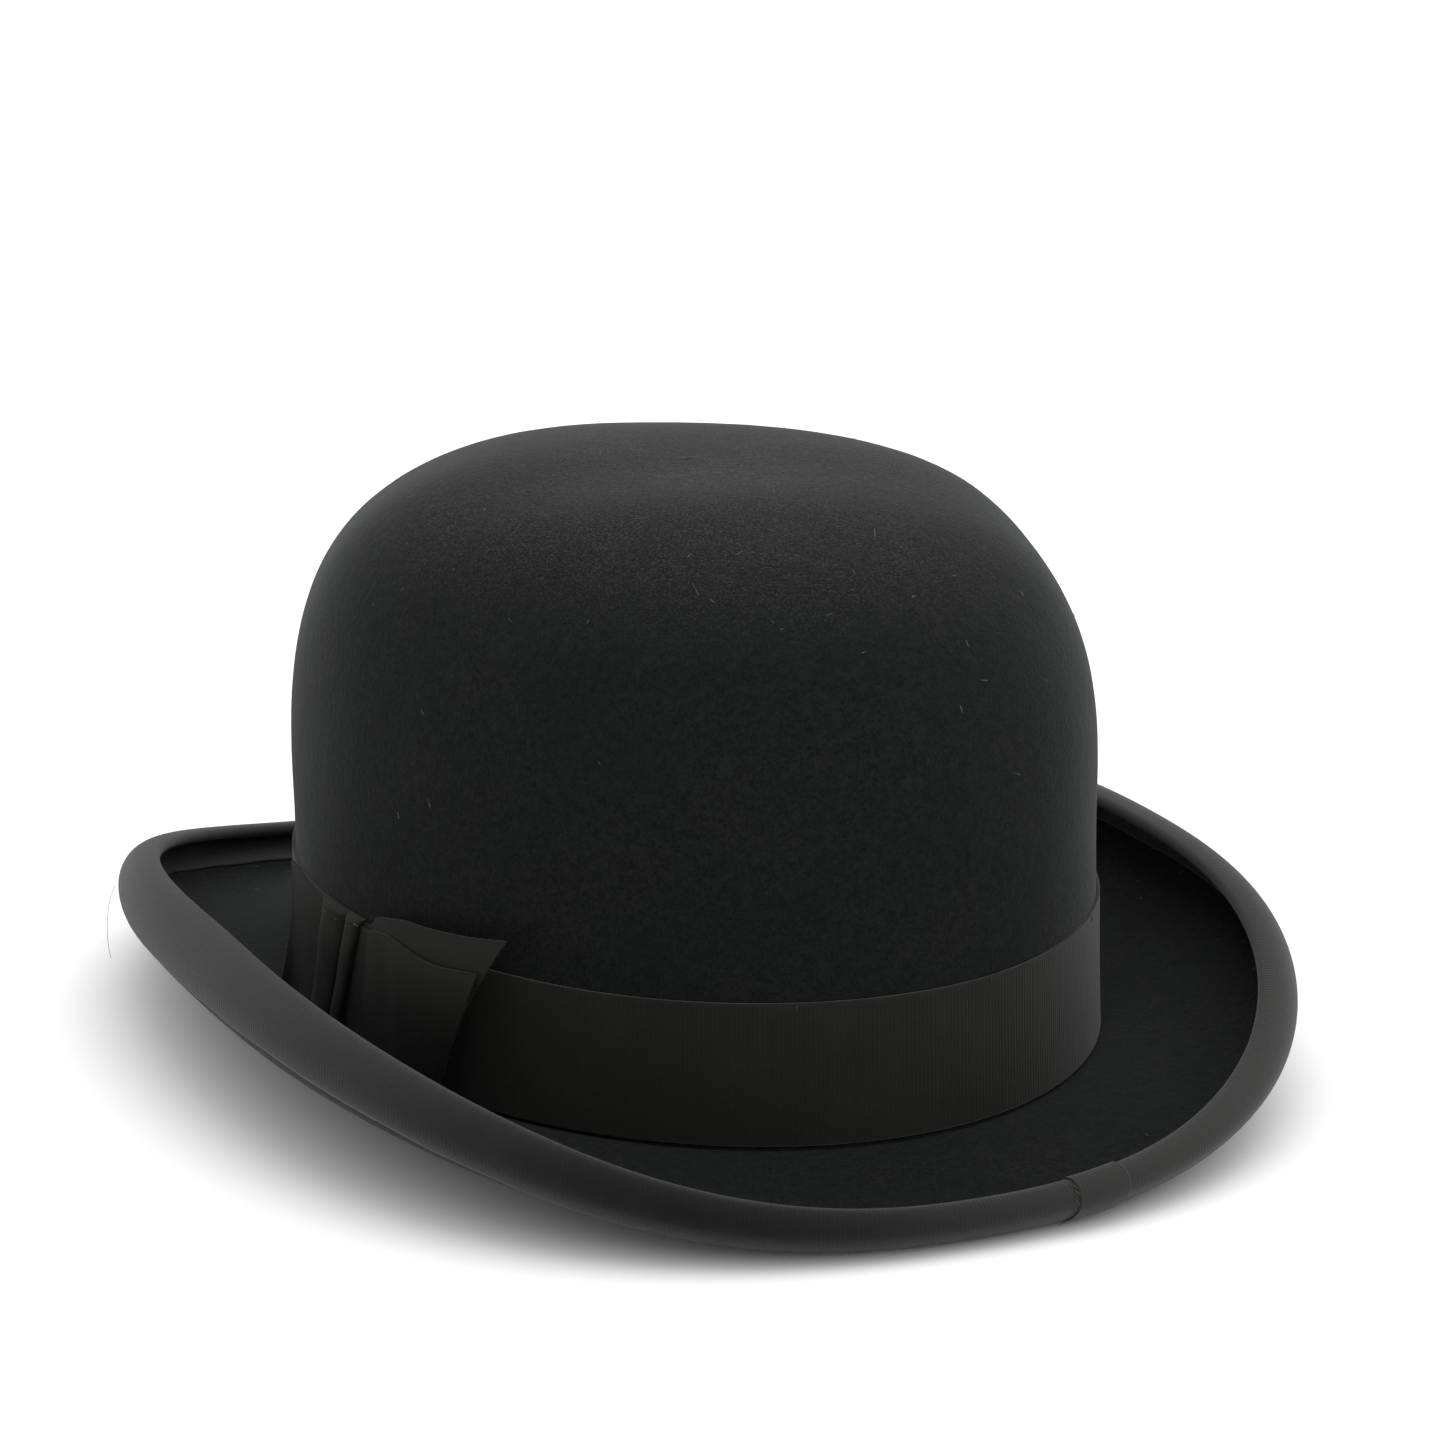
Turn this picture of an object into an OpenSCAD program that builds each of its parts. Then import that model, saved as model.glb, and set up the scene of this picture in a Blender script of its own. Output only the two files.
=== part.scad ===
// Bowler hat: stiff felt body with a curled, ribbon-bound brim, a grosgrain band with a flat bow,
// a leather sweatband sewn in on a reed, and a satin lining.
// Front of the hat faces -Y, the wearer's left side, with the bow, faces +X. Z is up.

/* [Crown] */
// Half width of the crown where it meets the brim
crown_half_w = 84.5; // [80:0.5:89]
// Half length of the crown where it meets the brim
crown_half_l = 103; // [96:0.5:110]
// Height of the nearly upright wall above the brim
wall_h = 53; // [46:1:60]
// Height of the dome above the wall
dome_h = 67.5; // [58:0.5:78]
// Squareness of the dome's shoulder, seen from above the wall
dome_shoulder = 3.2; // [2.4:0.1:4]
// Squareness of the dome towards its flat top
dome_flatness = 3.0; // [2.4:0.1:4]
// How far the worn crown leans towards the bow per 100 mm of height
crown_lean = 2; // [0:0.5:4]

/* [Brim] */
// Half width over the rolled brim
brim_half_w = 120; // [115:0.5:126]
// Half length of the brim, front to back
brim_half_l = 146; // [140:0.5:152]
// Height of the roll's centre above the break, on average round the brim
roll_rise = 9.1; // [7:0.1:11]
// How much higher the roll stands at the sides, and lower at front and back
side_lift = 11.1; // [9:0.1:12]
// Outside radius of the roll, on average round the brim
roll_r = 5.8; // [5.5:0.1:7]
// How much larger that radius is at the sides, and smaller at front and back
roll_r_swing = 2.4; // [1.5:0.1:2.6]

/* [Cloth and felt] */
// Thickness of the stiffened felt
felt_t = 2; // [1.6:0.1:2.2]
// Thickness of the grosgrain ribbon
ribbon_t = 0.5; // [0.4:0.05:0.6]
// Height of the hat band
band_h = 31; // [27:0.5:34]
// Width of the brim binding on each face of the brim
binding_w = 18; // [14:0.5:19]
// Height of the leather sweatband
leather_h = 54; // [45:1:60]
// Thickness of the sweatband leather
leather_t = 1.1; // [0.9:0.1:1.4]
// Diameter of the reed in the sweatband's lower edge
reed_d = 1.8; // [1.5:0.1:2.2]
// Thickness of the satin lining
satin_t = 0.4; // [0.3:0.05:0.5]

/* [Bow] */
// Width of the folded knot, measured round the crown
knot_w = 18.5; // [16:0.5:21]
// How far the knot stands off the band
knot_t = 2.6; // [2:0.1:3.2]
// Length of the outer tail behind the knot, along its top edge
outer_tail_l = 43; // [38:1:48]
// Length of the inner tail behind the knot, along its top edge
inner_tail_l = 50; // [46:1:54]
// Length of the wing in front of the knot
front_wing_l = 28; // [24:1:32]

/* [Hidden] */

// Heights are measured from the break, where the crown meets the brim, until on_floor() lifts them.
SIDES = 64;              // sections round the hat
CROWN_OVAL = 2.0;        // exponent of the crown's oval
CROWN_OVAL_TOP = -0.2;   // change of that exponent up to the top of the dome
BRIM_OVAL = 2.35;        // exponent of the brim's outer oval
FLARE = 0.01;            // outward flare of the wall's foot, as a share of its size
SHOULDER_SWING = 0.35;   // extra shoulder squareness at the sides
WALL_STEPS = 4;
DOME_STEPS = 12;
DOME_TOP = 84;           // last ring of the dome, in degrees of its quarter arc
OPEN_STEPS = 8;          // steps across the brim inside the binding
BOUND_STEPS = 8;         // steps across the bound edge
ROLL_FROM = -35;         // angle where the roll begins, 0 is straight out
ROLL_TO = 104;           // angle where the felt ends
ROLL_WAVE = -0.6;        // small fourfold wave in the roll's height
SLOPE_MEAN = 6;          // slope of the brim where it leaves the crown, on average
SLOPE_SWING = 12;        // how much steeper it is at the sides
REST_FLAT = 0.4;         // how much the felt is flattened where it rests
GAP = 0.05;              // clearance between neighbouring layers
LINING_AIR = 0.4;        // air behind the loosely hung lining
FELT_FOOT = 0.5;         // height where the crown's wall begins above the break
WELT_T = 0.4;
WELT_H = 6;              // height of the welt's leg behind the leather
BINDING_T = 0.45;        // the binding with the small gap behind it
BINDING_GAP = 0.12;
BAND_FOOT = 0.6;
LEATHER_FOOT = 1.2;
PIPING_R = 0.6;
PIPING_UP = 49;          // place of the piping on the dome's quarter arc
SEAM_UP = 1.5;           // room for the piping on each side of it
THREAD_D = 0.4;
LAP_AT = 99.6;           // place of the binding's lap joint, just behind the middle of the back
LAP_HALF = 2.6;          // half its width, in degrees
KNOT_AT = 9.6;           // middle of the knot's top, in mm round the crown from the wearer's left
KNOT_SLANT = 0.33;       // how far the knot leans, in mm round the crown per mm of height
FOLD_AT = 0.645;         // groove between the knot's two folds, as a share of its width
OUTER_CUT = 13.5;        // how much further the top corner of the outer tail reaches
INNER_CUT = 23.5;        // how much further the top corner of the inner tail reaches
JOINT_AT = 90;           // the sweatband's joint is at the back
JOINT_HALF = 2.4;        // half the width of the tape over it, in degrees

brim_t = felt_t + 2 * BINDING_T;
edge_sections = [for (i = [0:SIDES - 1]) i * 360 / SIDES];
lining_d = -felt_t - LINING_AIR;
lining_in = lining_d - satin_t;
leather_d = lining_in - GAP;
leather_in = leather_d - leather_t;
reed_at = [leather_d - leather_t / 2 - 0.2, -0.2];
deg_per_mm = 180 / PI / crown_half_l * 1.015;
floor_z = min([for (s = stations(90)) brim_at(90, s).y]) + BINDING_T + REST_FLAT;

FELT = [0.13, 0.14, 0.14];
GROSGRAIN = [0.17, 0.17, 0.15];
THREAD = [0.10, 0.10, 0.09];
RED_THREAD = [0.35, 0.14, 0.10];
LEATHER = [0.42, 0.26, 0.14];
SATIN = [0.80, 0.76, 0.66];
TAPE = [0.12, 0.11, 0.10];
CANE = [0.72, 0.60, 0.38];
PAPER = [0.86, 0.82, 0.72];

// ---- the crown's shape ----

function signed_pow(v, e) = sign(v) * pow(abs(v), e);

// A point of a superellipse with half axes a and b.
function oval(a, b, m, th) = [a * signed_pow(cos(th), 2 / m), b * signed_pow(sin(th), 2 / m)];

function lean(z) = [crown_lean * z / 100, 0];

// Share by which the wall is wider than its half axes at height z.
function wall_scale(z) = 1 + FLARE * pow(1 - min(max(z, 0), wall_h) / wall_h, 2);

// A point on the crown wall at height z, d outside the felt's outer face.
function wall_point(th, d, z) =
    let (
        s = wall_scale(z),
        p = oval(crown_half_w * s + d, crown_half_l * s + d, CROWN_OVAL, th) + lean(z)
    )
    [p.x, p.y, z];

// A point on the dome, up is the angle of its quarter arc, 0 at the wall and 90 at the top.
function dome_point(th, d, up) =
    let (
        r = pow(cos(up), 2 / (dome_shoulder + SHOULDER_SWING * cos(2 * th))),
        z = wall_h + (dome_h + d) * pow(sin(up), 2 / dome_flatness),
        m = CROWN_OVAL + CROWN_OVAL_TOP * sin(up),
        p = oval((crown_half_w + d) * r, (crown_half_l + d) * r, m, th) + lean(z)
    )
    [p.x, p.y, z];

// A point on the crown at any height, on the wall or on the dome.
function crown_point(th, d, z) =
    z <= wall_h ? wall_point(th, d, z)
    : dome_point(th, d, asin(pow((z - wall_h) / (dome_h + d), dome_flatness / 2)));

function crown_wall(th, d, z_from) =
    [for (i = [0:WALL_STEPS - 1]) wall_point(th, d, z_from + (wall_h - z_from) * i / WALL_STEPS)];
function crown_dome(th, d, up_from, up_to, steps) =
    [for (i = [0:steps]) dome_point(th, d, up_from + (up_to - up_from) * i / steps)];
function crown_top(d) = [lean(wall_h + dome_h + d).x, 0, wall_h + dome_h + d];

// ---- the brim's shape ----
// A brim section is a path of points [out, up] on the binding's outer face. Places on it are
// lengths measured back from the felt's edge.

function crown_foot(th) = oval(crown_half_w * (1 + FLARE), crown_half_l * (1 + FLARE), CROWN_OVAL, th);
function brim_edge(th) = oval(brim_half_w, brim_half_l, BRIM_OVAL, th);
function brim_w(th) = norm(brim_edge(th) - crown_foot(th));
function roll_radius(th) = roll_r + roll_r_swing * cos(2 * th);
function roll_height(th) = roll_rise + side_lift * cos(2 * th) + ROLL_WAVE * cos(4 * th);
function roll_length(th) = roll_radius(th) * (ROLL_TO - ROLL_FROM) * PI / 180;
function roll_point(th, g) =
    [brim_w(th) - roll_radius(th), roll_height(th)] + roll_radius(th) * [cos(g), sin(g)];

function hermite(t, p, p_dir, q, q_dir) =
    (2 * t ^ 3 - 3 * t ^ 2 + 1) * p + (t ^ 3 - 2 * t ^ 2 + t) * p_dir
    + (3 * t ^ 2 - 2 * t ^ 3) * q + (t ^ 3 - t ^ 2) * q_dir;

function open_reach(th) = norm(roll_point(th, ROLL_FROM) - [0, -brim_t]);
function open_point(th, t) =
    let (reach = open_reach(th), slope = SLOPE_MEAN + SLOPE_SWING * cos(2 * th))
    hermite(t, [0, -brim_t], reach * [cos(slope), sin(slope)],
        roll_point(th, ROLL_FROM), reach * [-sin(ROLL_FROM), cos(ROLL_FROM)]);

// The brim's outer face at a length s back from the felt's edge.
function brim_at(th, s) =
    s <= roll_length(th) ? roll_point(th, ROLL_TO - s / roll_radius(th) * 180 / PI)
    : open_point(th, 1 - (s - roll_length(th)) / open_reach(th));

function bound_stations() = [for (i = [0:BOUND_STEPS]) binding_w * (1 - i / BOUND_STEPS)];
function stations(th) =
    let (whole = roll_length(th) + open_reach(th))
    [
        for (i = [0:OPEN_STEPS - 1]) whole + (binding_w - whole) * i / OPEN_STEPS,
        each bound_stations()
    ];

function brim_dir(th, s) =
    let (d = brim_at(th, max(s - 0.2, 0)) - brim_at(th, min(s + 0.2, roll_length(th) + open_reach(th))))
    d / norm(d);

// The brim's section point at length s, moved d towards the upper, inner face and out past the end.
function brim_point(th, s, d, past = 0) =
    let (dir = brim_dir(th, s))
    brim_at(th, s) + d * [-dir.y, dir.x] + past * dir;

// Puts section points [out, up] on the brim at angle th, never below the floor.
function on_brim(th, points) =
    let (foot = crown_foot(th), dir = (brim_edge(th) - foot) / brim_w(th))
    [for (p = points) let (q = foot + dir * p.x) [q.x, q.y, max(p.y, floor_z)]];

// A half round from the outer face to the inner face, past the felt's edge.
function edge_round(th, d_out, d_in) =
    let (r = (d_in - d_out) / 2)
    [for (a = [45:45:135]) brim_point(th, 0, d_out + r * (1 - cos(a)), r * sin(a))];

function reversed(list) = [for (i = [len(list) - 1:-1:0]) list[i]];

// ---- solids from sections ----

function quad_faces(a, b, c, d) = [[a, b, c], [a, c, d]];

// A closed ring swept round the hat: rings[i] is the closed section at the i-th angle. If crossed, its
// faces are split along their other diagonal, which lays them parallel to the felt's faces.
module ring_solid(rings, crossed = false) {
    n = len(rings[0]);
    m = len(rings);
    polyhedron(
        points = [for (ring = rings) each ring],
        faces = [
            for (i = [0:m - 1])
                for (j = [0:n - 1])
                    let (k = (i + 1) % m, l = (j + 1) % n)
                        each crossed
                            ? quad_faces(k * n + j, k * n + l, i * n + l, i * n + j)
                            : quad_faces(i * n + j, k * n + j, k * n + l, i * n + l)
        ],
        convexity = 10
    );
}

// A closed shell swept round the hat, whose sections start at one pole and end at another.
module pole_solid(rings, first_pole, last_pole) {
    n = len(rings[0]);
    m = len(rings);
    last = m * n;
    polyhedron(
        points = [for (ring = rings) each ring, first_pole, last_pole],
        faces = [
            for (i = [0:m - 1])
                let (k = (i + 1) % m)
                    each [
                        [last, k * n, i * n],
                        [last + 1, i * n + n - 1, k * n + n - 1],
                        for (j = [0:n - 2])
                            each quad_faces(i * n + j, k * n + j, k * n + j + 1, i * n + j + 1)
                    ]
        ],
        convexity = 10
    );
}

// A strip of closed sections with flat ends. Each section runs along one face and back along the
// other, so an end is closed by joining each point to its partner on the other face.
module strip_solid(rings) {
    n = len(rings[0]);
    m = len(rings);
    end = (m - 1) * n;
    polyhedron(
        points = [for (ring = rings) each ring],
        faces = [
            for (j = [0:n / 2 - 2])
                each concat(
                    quad_faces(n - 1 - j, n - 2 - j, j + 1, j),
                    quad_faces(end + j, end + j + 1, end + n - 2 - j, end + n - 1 - j)
                ),
            for (i = [0:m - 2])
                for (j = [0:n - 1])
                    let (l = (j + 1) % n)
                        each quad_faces(i * n + j, i * n + l, (i + 1) * n + l, (i + 1) * n + j)
        ],
        convexity = 10
    );
}

// Lifts the hat so that it stands on z = 0.
module on_floor() {
    translate([0, 0, -floor_z]) children();
}

// A flat ring round the crown wall between two distances from the felt and two heights.
module wall_ring(d_in, d_out, z_low, z_high, steps) {
    ring_solid([
        for (th = edge_sections)
            [
                for (i = [0:steps]) wall_point(th, d_in, z_low + (z_high - z_low) * i / steps),
                for (i = [steps:-1:0]) wall_point(th, d_out, z_low + (z_high - z_low) * i / steps)
            ]
    ]);
}

// A flat ribbon along the crown. Each row is [place, distance, foot, top, slant]: mm round the crown,
// mm from the felt, the heights of its two edges, and how much further the top edge runs.
module wall_ribbon(rows, t) {
    strip_solid([
        for (r = rows)
            let (low = [r[0] * deg_per_mm, r[2]], high = [(r[0] + r[4]) * deg_per_mm, r[3]])
                [
                    for (i = [0:2])
                        let (p = low + (high - low) * i / 2) crown_point(p.x, r[1] + t, p.y),
                    for (i = [2:-1:0])
                        let (p = low + (high - low) * i / 2) crown_point(p.x, r[1], p.y)
                ]
    ]);
}

// A round thread between two points.
module thread(p, q) {
    v = q - p;
    translate(p)
        rotate([0, acos(v.z / norm(v)), atan2(v.y, v.x)])
            cylinder(h = norm(v), d = THREAD_D, $fn = 16);
}

// ---- the felt and its edge ----

module felt_body() {
    color(FELT) on_floor()
        pole_solid(
            [
                for (th = edge_sections)
                    [
                        each reversed(crown_dome(th, 0, 0, DOME_TOP, DOME_STEPS)),
                        each reversed(crown_wall(th, 0, FELT_FOOT)),
                        each on_brim(th, [for (s = stations(th)) brim_point(th, s, brim_t - BINDING_T)]),
                        each on_brim(th, [for (s = reversed(stations(th))) brim_point(th, s, BINDING_T)]),
                        each crown_wall(th, -felt_t, 0),
                        each crown_dome(th, -felt_t, 0, DOME_TOP, DOME_STEPS)
                    ]
            ],
            crown_top(0),
            crown_top(-felt_t)
        );
}

// The section of a ribbon of thickness t folded over the brim's edge, its inner face d off the felt.
function folded_section(th, d, t, width) =
    let (
        places = [for (s = bound_stations()) s * width / binding_w],
        face = BINDING_T - d,
        out = face - t
    )
    on_brim(th, [
        for (s = places) brim_point(th, s, out),
        each edge_round(th, out, brim_t - out),
        for (s = reversed(places)) brim_point(th, s, brim_t - out),
        for (s = places) brim_point(th, s, brim_t - face),
        each reversed(edge_round(th, face, brim_t - face)),
        for (s = reversed(places)) brim_point(th, s, face)
    ]);

module brim_binding() {
    color(GROSGRAIN) on_floor()
        ring_solid([
            for (th = edge_sections)
                reversed(folded_section(th, BINDING_GAP, BINDING_T - BINDING_GAP, binding_w))
        ], true);
}

// The binding's ends overlap at the back, where a short flap is laid over the joint.
module binding_lap() {
    color(GROSGRAIN) on_floor()
        strip_solid([
            for (i = [-1:1])
                let (th = LAP_AT + i * LAP_HALF)
                    folded_section(th, BINDING_T + 4 * GAP, BINDING_T - BINDING_GAP, binding_w - 4)
        ]);
}

module binding_lap_thread() {
    th = LAP_AT - LAP_HALF - 0.35;
    color(RED_THREAD) on_floor()
        for (s = [2:2.5:12])
            let (ends = on_brim(th, [brim_point(th, s, -THREAD_D), brim_point(th, s + 1.4, -THREAD_D)]))
                thread(ends[0], ends[1]);
}

module hat_band() {
    color(GROSGRAIN) on_floor() wall_ring(GAP, GAP + ribbon_t, BAND_FOOT, band_h, 2);
}

module band_tack_stitches() {
    color(THREAD) on_floor()
        for (th = [75:30:315])
            let (d = ribbon_t + THREAD_D)
                thread(wall_point(th, d, band_h - 1.6), wall_point(th, d, band_h - 0.2));
}

// ---- the bow on the wearer's left ----

// Distance of the knot's face from the felt: two soft folds with a groove between them.
function knot_depth(x) =
    knot_t + 0.6 - 1.2 * exp(-pow((x - FOLD_AT) / 0.06, 2)) - 0.9 * pow(abs(2 * x - 1), 6);

// Place of the knot's middle, in mm round the crown, at height z.
function knot_middle(z) = KNOT_AT - KNOT_SLANT * (band_h - z);

// A point of the knot: x across its width from 0 to 1, d outside the felt, at height z.
function knot_point(x, d, z) = wall_point((knot_middle(z) + knot_w * (x - 0.5)) * deg_per_mm, d, z);

module bow_knot() {
    steps = 22;
    foot = BAND_FOOT + 0.3;
    top = band_h + 1;
    middle = (foot + top) / 2;
    inner = ribbon_t + 2 * GAP;
    color(GROSGRAIN) on_floor()
        strip_solid([
            for (i = [0:steps])
                let (x = i / steps, d = knot_depth(x))
                    [
                        knot_point(x, inner, foot),
                        knot_point(x, d, foot),
                        knot_point(x, d, middle),
                        knot_point(x, d, top),
                        knot_point(x, inner, top),
                        knot_point(x, inner, top - ribbon_t),
                        knot_point(x, d - ribbon_t, top - ribbon_t),
                        knot_point(x, d - ribbon_t, middle),
                        knot_point(x, d - ribbon_t, foot + ribbon_t),
                        knot_point(x, inner, foot + ribbon_t)
                    ]
        ]);
}

in_knot = [BAND_FOOT + 1.4, band_h - 0.2];
knot_slant = KNOT_SLANT * (in_knot[1] - in_knot[0]);
knot_foot = knot_middle(in_knot[0]);
knot_front = KNOT_AT - knot_w / 2;
knot_back = KNOT_AT + knot_w / 2;

module bow_front_wing() {
    d = ribbon_t + 3 * GAP;
    tip = knot_front - front_wing_l;
    color(GROSGRAIN) on_floor()
        wall_ribbon([
            [tip, d + 2.4, 3, band_h + 0.4, 0],
            [tip + 4, d + 1.2, 1.2, band_h + 0.4, 0],
            [tip + 8, d + 0.5, 1, band_h + 0.2, 1],
            [knot_foot - knot_w / 2 - 0.6, d + 0.1, in_knot[0], in_knot[1], knot_slant],
            [knot_foot - knot_w / 4, d, in_knot[0], in_knot[1], knot_slant],
            [knot_foot, d, in_knot[0], in_knot[1], knot_slant]
        ], ribbon_t);
}

module bow_inner_tail() {
    d = ribbon_t + 3 * GAP;
    tip = knot_back + inner_tail_l - INNER_CUT;
    color(GROSGRAIN) on_floor()
        wall_ribbon([
            [knot_foot + 0.6, d, in_knot[0], in_knot[1], knot_slant],
            [knot_foot + knot_w / 4, d, in_knot[0], in_knot[1], knot_slant],
            [knot_foot + knot_w / 2 + 0.6, d, in_knot[0], in_knot[1], knot_slant],
            [knot_back + 4, d + 0.6, 1.6, band_h + 2.6, 3],
            [knot_back + 12, d + 1.8, 3, band_h + 5, 2],
            [tip - 6, d + 3.2, 6, band_h + 7.2, 5],
            [tip, d + 5.4, 9.5, band_h + 10.8, INNER_CUT]
        ], ribbon_t);
}

module bow_outer_tail() {
    d = 2 * ribbon_t + 5 * GAP;
    tip = knot_back + outer_tail_l - OUTER_CUT;
    color(GROSGRAIN) on_floor()
        wall_ribbon([
            [knot_foot + knot_w / 2 - 5, d, in_knot[0], in_knot[1], knot_slant],
            [knot_foot + knot_w / 2 + 0.6, d, in_knot[0], in_knot[1], knot_slant],
            [knot_back + 4, d + 1.3, 1, band_h + 1, 3],
            [knot_back + 12, d + 3, 2, band_h + 2, 1],
            [tip - 8, d + 4.6, 3, band_h + 1, 3],
            [tip, d + 7, 5, band_h + 2.2, OUTER_CUT]
        ], ribbon_t);
}

// Tacks that hold the bow to the band: one row at the knot's foot and one at its top.
module bow_stitches() {
    color(THREAD) on_floor()
        for (z = [2.5, band_h - 2.5])
            for (x = [-6, 0, 5])
                let (
                    th = (knot_middle(z) + x) * deg_per_mm,
                    d = knot_depth(0.5 + x / knot_w) + THREAD_D / 2 + GAP
                )
                    thread(wall_point(th - 0.4, d, z), wall_point(th + 0.4, d, z));
}

// ---- the sweatband ----

module sweatband() {
    color(LEATHER) on_floor() wall_ring(leather_in, leather_d, LEATHER_FOOT, leather_h, 3);
}

module sweatband_joint_tape() {
    color(LEATHER) on_floor()
        strip_solid([
            for (i = [0:3])
                let (z = LEATHER_FOOT + (leather_h - LEATHER_FOOT) * [0.08, 1 / 3, 2 / 3, 0.98][i])
                    [
                        for (side = [1:-1:-1]) wall_point(JOINT_AT + side * JOINT_HALF, leather_in - 0.2, z),
                        for (side = [-1:1]) wall_point(JOINT_AT + side * JOINT_HALF, leather_in - 0.6, z)
                    ]
        ]);
}

// A point of the reed's round section at radius r and angle a.
function reed_point(th, r, a) = wall_point(th, reed_at.x + r * cos(a), reed_at.y + r * sin(a));

// Cloth tape folded up round the reed, with a long leg behind the leather and a short one before it.
module sweatband_welt() {
    r_in = reed_d / 2 + GAP;
    r_out = r_in + WELT_T;
    color(TAPE) on_floor()
        ring_solid([
            for (th = edge_sections)
                [
                    wall_point(th, reed_at.x + r_out, WELT_H),
                    for (a = [0:-45:-180]) reed_point(th, r_out, a),
                    wall_point(th, reed_at.x - r_out, 1),
                    wall_point(th, reed_at.x - r_in, 1),
                    for (a = [-180:45:0]) reed_point(th, r_in, a),
                    wall_point(th, reed_at.x + r_in, WELT_H)
                ]
        ]);
}

module sweatband_reed() {
    color(CANE) on_floor()
        ring_solid([
            for (th = edge_sections)
                [for (a = [315:-45:0]) reed_point(th, reed_d / 2, a)]
        ]);
}

// Zigzag that joins the leather to the welt.
module sweatband_stitching() {
    count = 120;
    d = leather_in - THREAD_D / 2 - 0.17;
    color(THREAD) on_floor()
        for (i = [0:count - 1])
            let (
                step = 360 / count,
                up = i % 2 == 0,
                from = wall_point((i + 0.1) * step, d, up ? 2 : 4.4),
                to = wall_point((i + 0.9) * step, d, up ? 4.4 : 2)
            )
                thread(from, to);
}

// A small flat bow over the foot of the joint: two loops and a knot.
module sweatband_bow_loops() {
    d = leather_in - 1;
    color(GROSGRAIN) on_floor()
        for (side = [-1, 1])
            strip_solid([
                for (x = side > 0 ? [2.2, 5, 9, 14] : [-14, -9, -5, -2.2])
                    let (
                        th = JOINT_AT + x / crown_half_w * 180 / PI,
                        swell = abs(x) < 3 ? 0.5 : abs(x) > 13 ? 0.6 : 1.4,
                        half = abs(x) < 3 ? 1.6 : 3.2
                    )
                        [
                            wall_point(th, d - swell, 11 - half),
                            wall_point(th, d, 11 - half),
                            wall_point(th, d, 11 + half),
                            wall_point(th, d - swell, 11 + half)
                        ]
            ]);
}

module sweatband_bow_knot() {
    d = leather_in - 1;
    color(GROSGRAIN) on_floor()
        strip_solid([
            for (x = [-2, 0, 2])
                let (th = JOINT_AT + x / crown_half_w * 180 / PI)
                    [
                        wall_point(th, d - 1.6, 8.6),
                        wall_point(th, d, 8.6),
                        wall_point(th, d, 13.4),
                        wall_point(th, d - 1.6, 13.4)
                    ]
        ]);
}

// ---- the lining ----

module lining_side() {
    foot = WELT_H + 0.5;
    top = PIPING_UP - SEAM_UP;
    color(SATIN) on_floor()
        ring_solid([
            for (th = edge_sections)
                [
                    wall_point(th, lining_in, foot),
                    wall_point(th, lining_in, wall_h / 2),
                    each crown_dome(th, lining_in, 0, top, 7),
                    each reversed(crown_dome(th, lining_d, 0, top, 7)),
                    wall_point(th, lining_d, wall_h / 2),
                    wall_point(th, lining_d, foot)
                ]
        ]);
}

module lining_tip() {
    from = PIPING_UP + SEAM_UP;
    color(SATIN) on_floor()
        pole_solid(
            [
                for (th = edge_sections)
                    [
                        each reversed(crown_dome(th, lining_d, from, DOME_TOP, 5)),
                        each crown_dome(th, lining_in, from, DOME_TOP, 5)
                    ]
            ],
            crown_top(lining_d),
            crown_top(lining_in)
        );
}

module lining_piping() {
    color(SATIN) on_floor()
        ring_solid([
            for (th = edge_sections)
                let (
                    c = dome_point(th, lining_d - PIPING_R - GAP, PIPING_UP),
                    out = [c.x, c.y, 0] / norm([c.x, c.y])
                )
                    [for (a = [300:-60:0]) c + PIPING_R * (cos(a) * out + [0, 0, sin(a)])]
        ]);
}

// A blank paper size ticket on the side lining, just above the sweatband.
module size_label() {
    d = lining_in - 0.6;
    color(PAPER) on_floor()
        wall_ribbon([for (x = [96:5:116]) [x, d, wall_h + 3, wall_h + 14, 0]], 0.2);
}

felt_body();
brim_binding();
binding_lap();
binding_lap_thread();
hat_band();
band_tack_stitches();
bow_knot();
bow_outer_tail();
bow_inner_tail();
bow_front_wing();
bow_stitches();
sweatband();
sweatband_joint_tape();
sweatband_welt();
sweatband_reed();
sweatband_stitching();
sweatband_bow_loops();
sweatband_bow_knot();
lining_tip();
lining_side();
lining_piping();
size_label();
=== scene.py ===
"""A bowler hat of stiffened fur felt: curled brim bound with grosgrain ribbon, a grosgrain hat band
with a flat bow on the wearer's left, a leather sweatband and a satin lining.

Shapes are worked out in millimetres with heights above the break, where crown and brim meet, and
are turned into the frame's metres when a piece is made.
"""

import math

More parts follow.
